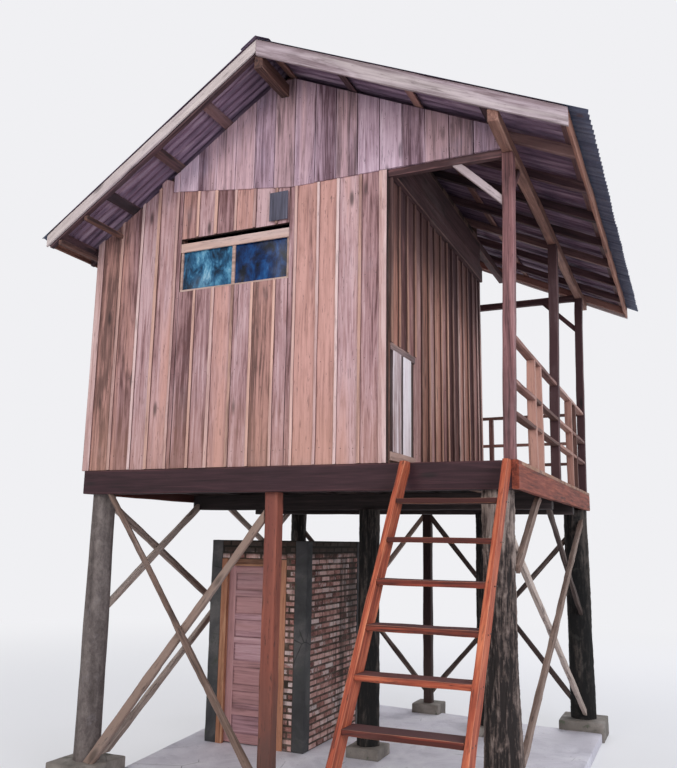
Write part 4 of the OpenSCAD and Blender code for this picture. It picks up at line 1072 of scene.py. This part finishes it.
LOG_FOOT, LOG_TOP = 0.2, 2.5
GIRDER_Z = 2.422


def profile(r, wide, z1=LOG_TOP):
    """Radii up a log whose foot is wide times as thick as its middle"""
    flare, z0 = r * (wide - 1), LOG_FOOT
    return [(z0, r + flare), (z0 + 0.3, r + flare * 0.8), (z0 + 0.7, r + flare * 0.2),
            ((z0 + z1) / 2, r * 0.98), (z1, r * 0.94)]


def logs():
    s = Shape(101)
    log(s, (-1.882, 0.168), profile(0.108, 1.04), LOG_FOOT, LOG_TOP, 90, 200, 0.0024, 0.007, False, 7)
    s.make("smooth_log_skin", skins["smooth"], "smooth_log", ("front_left_log",), sharp=60)
    s = Shape(102)
    log(s, (1.802, 0.182), profile(0.122, 1.24), LOG_FOOT, LOG_TOP, 160, 320, 0.0085, 0.010, True, 8)
    s.make("rough_log_bark", skins["bark"], "bark_log", ("front_right_log",), sharp=80)
    s = Shape(103)
    for k, (x, y, r, z1) in enumerate(((0.14, 1.77, 0.105, GIRDER_Z), (0.975, 3.16, 0.105, GIRDER_Z),
                                       (-1.78, 4.01, 0.105, LOG_TOP), (1.855, 4.01, 0.135, LOG_TOP))):
        log(s, (x, y), profile(r, 1.04, z1), LOG_FOOT, z1, 84, 150, 0.006, 0.007, True, 20 + k)
    s.make("rear_log_bark", skins["rear_bark"], "bark_log", ("rear_logs",), sharp=80)


logs()


# ---- roof

def sheets(name, node, seed, side):
    """Lapped corrugated strips down one slope. side is -1 for the left slope and 1 for the right one."""
    s = Shape(seed)
    lo, hi = span(node)
    tan = LEFT_SLOPE if side < 0 else RIGHT_SLOPE
    cos = 1 / math.hypot(1, tan)
    waves, strip, per, rows = 70, 10, 8, 14
    pitch = (hi[1] - lo[1]) / waves
    x_top, x_low = (hi[0], lo[0]) if side < 0 else (lo[0], hi[0])
    down = np.array([side * cos, 0, -tan * cos])
    up = np.array([side * tan * cos, 0, cos])
    start = np.array([x_top, 0, RIDGE_Z - tan * abs(x_top - RIDGE_X)])
    length = abs(x_low - x_top) / cos - 0.0185 * tan
    for i in range(waves // strip):
        n = strip * per + 1 + (0 if i == waves // strip - 1 else per)
        col = np.arange(n) / per
        y = lo[1] + (i * strip + col) * pitch
        over = np.clip((col - strip + 0.6) / 0.6, 0, 1)
        d = np.linspace(0, length - 0.009 * s.rng.random(), rows)
        wave = 0.0160 * (1 - np.cos(2 * np.pi * (i * strip + col))) / 2
        h = 0.0004 + wave + over * 0.0016 + 0.0007 * (smooth(xyz(d[:, None] * 1.3, y * 2.2, 0), seed + i) + 1)
        edge = d[:, None] + np.zeros(n)
        edge[-1] += 0.004 * smooth_line(y * 9, seed + 60)
        low = start + edge[..., None] * down + xyz(0, y, 0)
        v = np.concatenate([(low + (h + k)[..., None] * up).reshape(-1, 3) for k in (0.0, 0.0012)])
        skin, rims = sheet_faces(rows, n)
        r1, r2 = s.tones()
        s.add(v, skin + rims if side > 0 else flipped(skin + rims), v, (r1, r2, 0, 0))
    s.make(name, skins["roof"], "roof_metal", (node,), sharp=50)
    places = [start + down * length * fraction + up * 0.0175 + np.array([0, lo[1] + w * pitch, 0])
              for fraction in (0.03, 0.26, 0.5, 0.74, 0.975) for w in np.arange(1.5, waves, 3)]
    heads(name + "_screws", seed + 40, [(places, up, 0.008, 0.003)])


sheets("left_roof_sheets", "left_sheet", 111, -1)
sheets("right_roof_sheets", "right_sheet", 112, 1)


def ridge():
    """A folded cap in three lapped lengths with hemmed edges"""
    s = Shape(121)
    lo, hi = span("ridge_cap")
    lengths, rows, wide, lap = 3, 9, 0.14, 0.06
    run = (hi[1] - lo[1]) / lengths

    def wing(side, tan):
        return [(RIDGE_X + side * wide * a,
                 RIDGE_Z - tan * wide * a + (0.0206 - (0.003 if a > 0.96 else 0.0)) * math.hypot(1, tan))
                for a in (1.0, 0.985, 0.95, 0.9, 0.7, 0.4, 0.14)]

    fold = (RIDGE_X, RIDGE_Z + 0.0204 * math.hypot(1, LEFT_SLOPE))
    x, z = np.array(wing(-1, LEFT_SLOPE) + [fold] + wing(1, RIGHT_SLOPE)[::-1]).T
    for i in range(lengths):
        end = lo[1] + (i + 1) * run + (lap if i < lengths - 1 else 0)
        y = np.linspace(lo[1] + i * run, end, rows)[:, None]
        lift = 0.0008 * (i % 2) + 0.0006 * smooth_line(y * 3, 31 + i)
        v = np.concatenate([xyz(x, y, z + k + lift).reshape(-1, 3) for k in (0.0, 0.0016)])
        skin, rims = sheet_faces(rows, len(x))
        s.add(v, skin + flipped(rims), v, (0.5, 0.5, 0, 0))
    s.make("ridge_capping", skins["roof"], "roof_metal", ("ridge_cap",), sharp=30)


ridge()


# ---- brick room

COURSE, BRICK = 0.0597, 0.165
FRAME_X0, FRAME_X1, FRAME_Z0, FRAME_Z1 = -1.42, -0.664, 0.1, 1.91
clad(mortar_skin(), "brick_walls")


def brick(s, centre, run, out, w, h, proud):
    """One rough brick that stands out of the wall face at centre"""
    cols, rows = 5, 3
    u, v = np.meshgrid(np.linspace(-0.5, 0.5, cols) * w, np.linspace(-0.5, 0.5, rows) * h)
    place = s.rng.random(3) * 50

    def uneven(a, b, seed):
        return smooth(xyz(a, b, 0) + place, seed)

    face_u = u * (1 - 0.006 / w) + 0.0016 * uneven(v * 60, u * 9, 5)
    face_v = v * (1 - 0.006 / h) + 0.0014 * uneven(u * 30, v * 9, 7)
    a = (s.rng.random() - 0.5) * 0.012
    front = (centre + (face_u * math.cos(a) - face_v * math.sin(a))[..., None] * run
             + (face_v * math.cos(a) + face_u * math.sin(a))[..., None] * UP
             + (proud + 0.0009 * uneven(u * 22, v * 30, 3))[..., None] * out).reshape(-1, 3)
    grid = np.arange(rows * cols).reshape(rows, cols)
    ring = np.concatenate([grid[0], grid[1:, -1], grid[-1, -2::-1], grid[-2:0:-1, 0]])
    back = centre + u.ravel()[ring, None] * run + v.ravel()[ring, None] * UP - 0.002 * out
    low = rows * cols + np.arange(len(ring))
    faces = [grid_faces(rows, cols), xyz(ring, low, np.roll(low, -1), np.roll(ring, -1))]
    if np.dot(np.cross(run, UP), out) < 0:
        faces = flipped(faces)
    r1, r2 = s.tones()
    points = np.concatenate([front, back])
    s.add(points, faces, points, (r1, r2, 0, 0))


def brick_face(s, start, run, out, length, z0, z1, shift):
    """Courses of stretchers on a wall face, from start along run"""
    start, run, out = floats(start, run, out)
    rows = int(round((z1 - z0) / COURSE))
    course = (z1 - z0) / rows
    for r in range(rows):
        x = -(shift + (r % 2) * 0.5) % 1.0 * (BRICK + 0.018) - (BRICK + 0.018)
        z = z0 + (r + 0.5) * course
        while x < length:
            w = BRICK * (0.94 + 0.12 * s.rng.random())
            a, b = max(x, 0.003), min(x + w, length - 0.003)
            if b - a > 0.03:
                middle = z + 0.0015 * (s.rng.random() - 0.5) + 0.0012 * math.sin(x * 9 + r)
                high, proud = s.rng.random(2) * (0.005, 0.004)
                brick(s, start + run * (a + b) / 2 + UP * middle, run, out, b - a, course - 0.016 - high,
                      0.003 + proud)
            x += w + 0.014 + 0.006 * s.rng.random()


def bricks():
    s = Shape(131)
    lo, hi = span("brick_walls")
    column, thick, front_y = 0.13, 0.11, 1.535
    x0, x1, y1, z0, z1 = lo[0], hi[0], hi[1], lo[2], hi[2]
    in_x0, in_x1, in_y0, in_y1 = -1.55 + column, -0.434 - column, 1.53 + column, 2.98 - column
    wide, deep = in_x1 - in_x0, in_y1 - in_y0
    right, left, back, front = (1, 0, 0), (-1, 0, 0), (0, 1, 0), (0, -1, 0)
    for start, run, out, length, base, shift in (
            ((x1, in_y0, 0), back, right, deep, z0, 0.0),
            ((x0, in_y0, 0), back, left, deep, z0, 0.3),
            ((in_x0, y1, 0), right, back, wide, z0, 0.2),
            ((FRAME_X1, front_y, 0), right, front, in_x1 - FRAME_X1, z0, 0.7),
            ((in_x0, front_y, 0), right, front, FRAME_X1 - in_x0, FRAME_Z1, 0.4),
            ((x1 - thick, in_y0, 0), back, left, deep, z0, 0.5),
            ((x0 + thick, in_y0, 0), back, right, deep, z0, 0.1),
            ((in_x0, y1 - thick, 0), right, front, wide, z0, 0.6)):
        brick_face(s, start, run, out, length, base, z1, shift)
    s.make("brick_courses", brick_skin(), "brick", sharp=25)


bricks()


# ---- doors and window

def joinery(name, parts, skin, slot, seed, replaces=(), **kw):
    """Straight boards given as (low corner, high corner, axis of the grain)"""
    s = Shape(seed)
    for part in parts:
        board(s, *part, seg=0.15, wob=0.0004, **kw)
    s.make(name, skins[skin], slot, replaces)


def door_frame():
    x0, x1, z0, z1 = FRAME_X0, FRAME_X1, FRAME_Z0, FRAME_Z1
    front, stop, back = 1.525, 1.57, 1.613
    parts = []
    for w, a, b in ((0.07, front, stop), (0.05, stop, back)):
        parts += [((x0, a, z0), (x0 + w, b, z1), "z"), ((x1 - w, a, z0), (x1, b, z1), "z"),
                  ((x0 + w, a, z1 - w), (x1 - w, b, z1), "x")]
    joinery("door_jambs", parts, "jamb", "jamb_timber", 141, ("door_frame",))


door_frame()


def door_leaf():
    """Stiles and rails with a raised panel between each two rails, on both faces"""
    s = Shape(142)
    lo, hi = span("door_leaf")
    stile, end, rail, count, sink, gap = 0.09, 0.085, 0.055, 7, 0.01, 0.0004
    opening = (hi[2] - lo[2] - 2 * end - (count - 1) * rail) / count
    a, b = lo[0] + stile, hi[0] - stile
    bottoms = [lo[2] + end + i * (opening + rail) for i in range(count)]
    rails = [(lo[2], lo[2] + end), (hi[2] - end, hi[2])]
    rails += [(z + opening, z + opening + rail) for z in bottoms[:-1]]
    parts = [(lo, (a - gap, hi[1], hi[2]), "z"), ((b + gap, lo[1], lo[2]), hi, "z")]
    parts += [((a, lo[1] + gap, z0), (b, hi[1] - gap, z1), "x") for z0, z1 in rails]
    for part in parts:
        board(s, *part, seg=0.2, wob=0.0003, bevel=0.002)
    for z in bottoms:
        r1, r2 = s.tones()
        for out, y in ((-1, lo[1]), (1, hi[1])):
            v = np.array([(x, y - out * depth, at)
                          for inset, depth in ((0.0, sink), (0.007, sink), (0.02, 0.0035), (0.024, 0.003))
                          for x, at in ((a + inset, z + inset), (b - inset, z + inset),
                                        (b - inset, z + opening - inset), (a + inset, z + opening - inset))])
            faces = [grid_faces(4, 4, True), np.array([[12, 13, 14, 15]])]
            # The sunk rim round each panel gets a dark tone: painted shade in the groove
            tone = np.array([(-0.5 if k < 8 else r1, r2, 0, 0) for k in range(16)])
            s.add(v, faces if out < 0 else flipped(faces), v[:, [0, 2, 1]] + s.rng.random(3) * 30, tone)
    s.make("door_leaf_boards", skins["door"], "door_timber", ("door_leaf",), "door")


door_leaf()
# The head board of the window, and the thin grey board over its right end
joinery("window_head", [((win_lo[0] + 0.002, win_lo[1] - 0.014, win_hi[2] - 0.084),
                         (win_hi[0] - 0.002, win_lo[1] + 0.001, win_hi[2]), "x")],
        "pale", "pale_timber", 145, bevel=0.002)
joinery("grey_panel", [((-0.13, wall_y - 0.036, 4.872), (0.05, wall_y - 0.027, 5.135), "z")],
        "grey", "wall_timber", 144, bevel=0.002)


def upper_door():
    """The back door: upright boards and three ledges"""
    s, count = Shape(143), 5
    lo, hi = rear_door_lo, rear_door_hi
    w = (hi[0] - lo[0]) / count
    for i in range(count):
        x = lo[0] + (i + 0.5) * w
        plank(s, (x, lo[1], lo[2] + 0.002), (x, lo[1], hi[2]), (1, 0, 0), (0, 1, 0), w - 0.003, 0.014,
              seg=0.2)
    for z in (lo[2] + 0.25, lo[2] + 0.95, lo[2] + 1.62):
        y = lo[1] + 0.0135
        plank(s, (lo[0] + 0.03, y, z), (hi[0] - 0.03, y, z), UP, (0, 1, 0), 0.09, 0.0155, seg=0.15)
    # The porch wall's wood, whose painted eave shade also darkens the top of the door
    s.make("upper_door_boards", skins["side_wall"], "door_timber", ("upper_door",))


upper_door()
clad(pane_skin((win_lo[0] + win_hi[0]) / 2), "window_glass")
clad(iron_skin, "frame_hinges", "leaf_hinges")
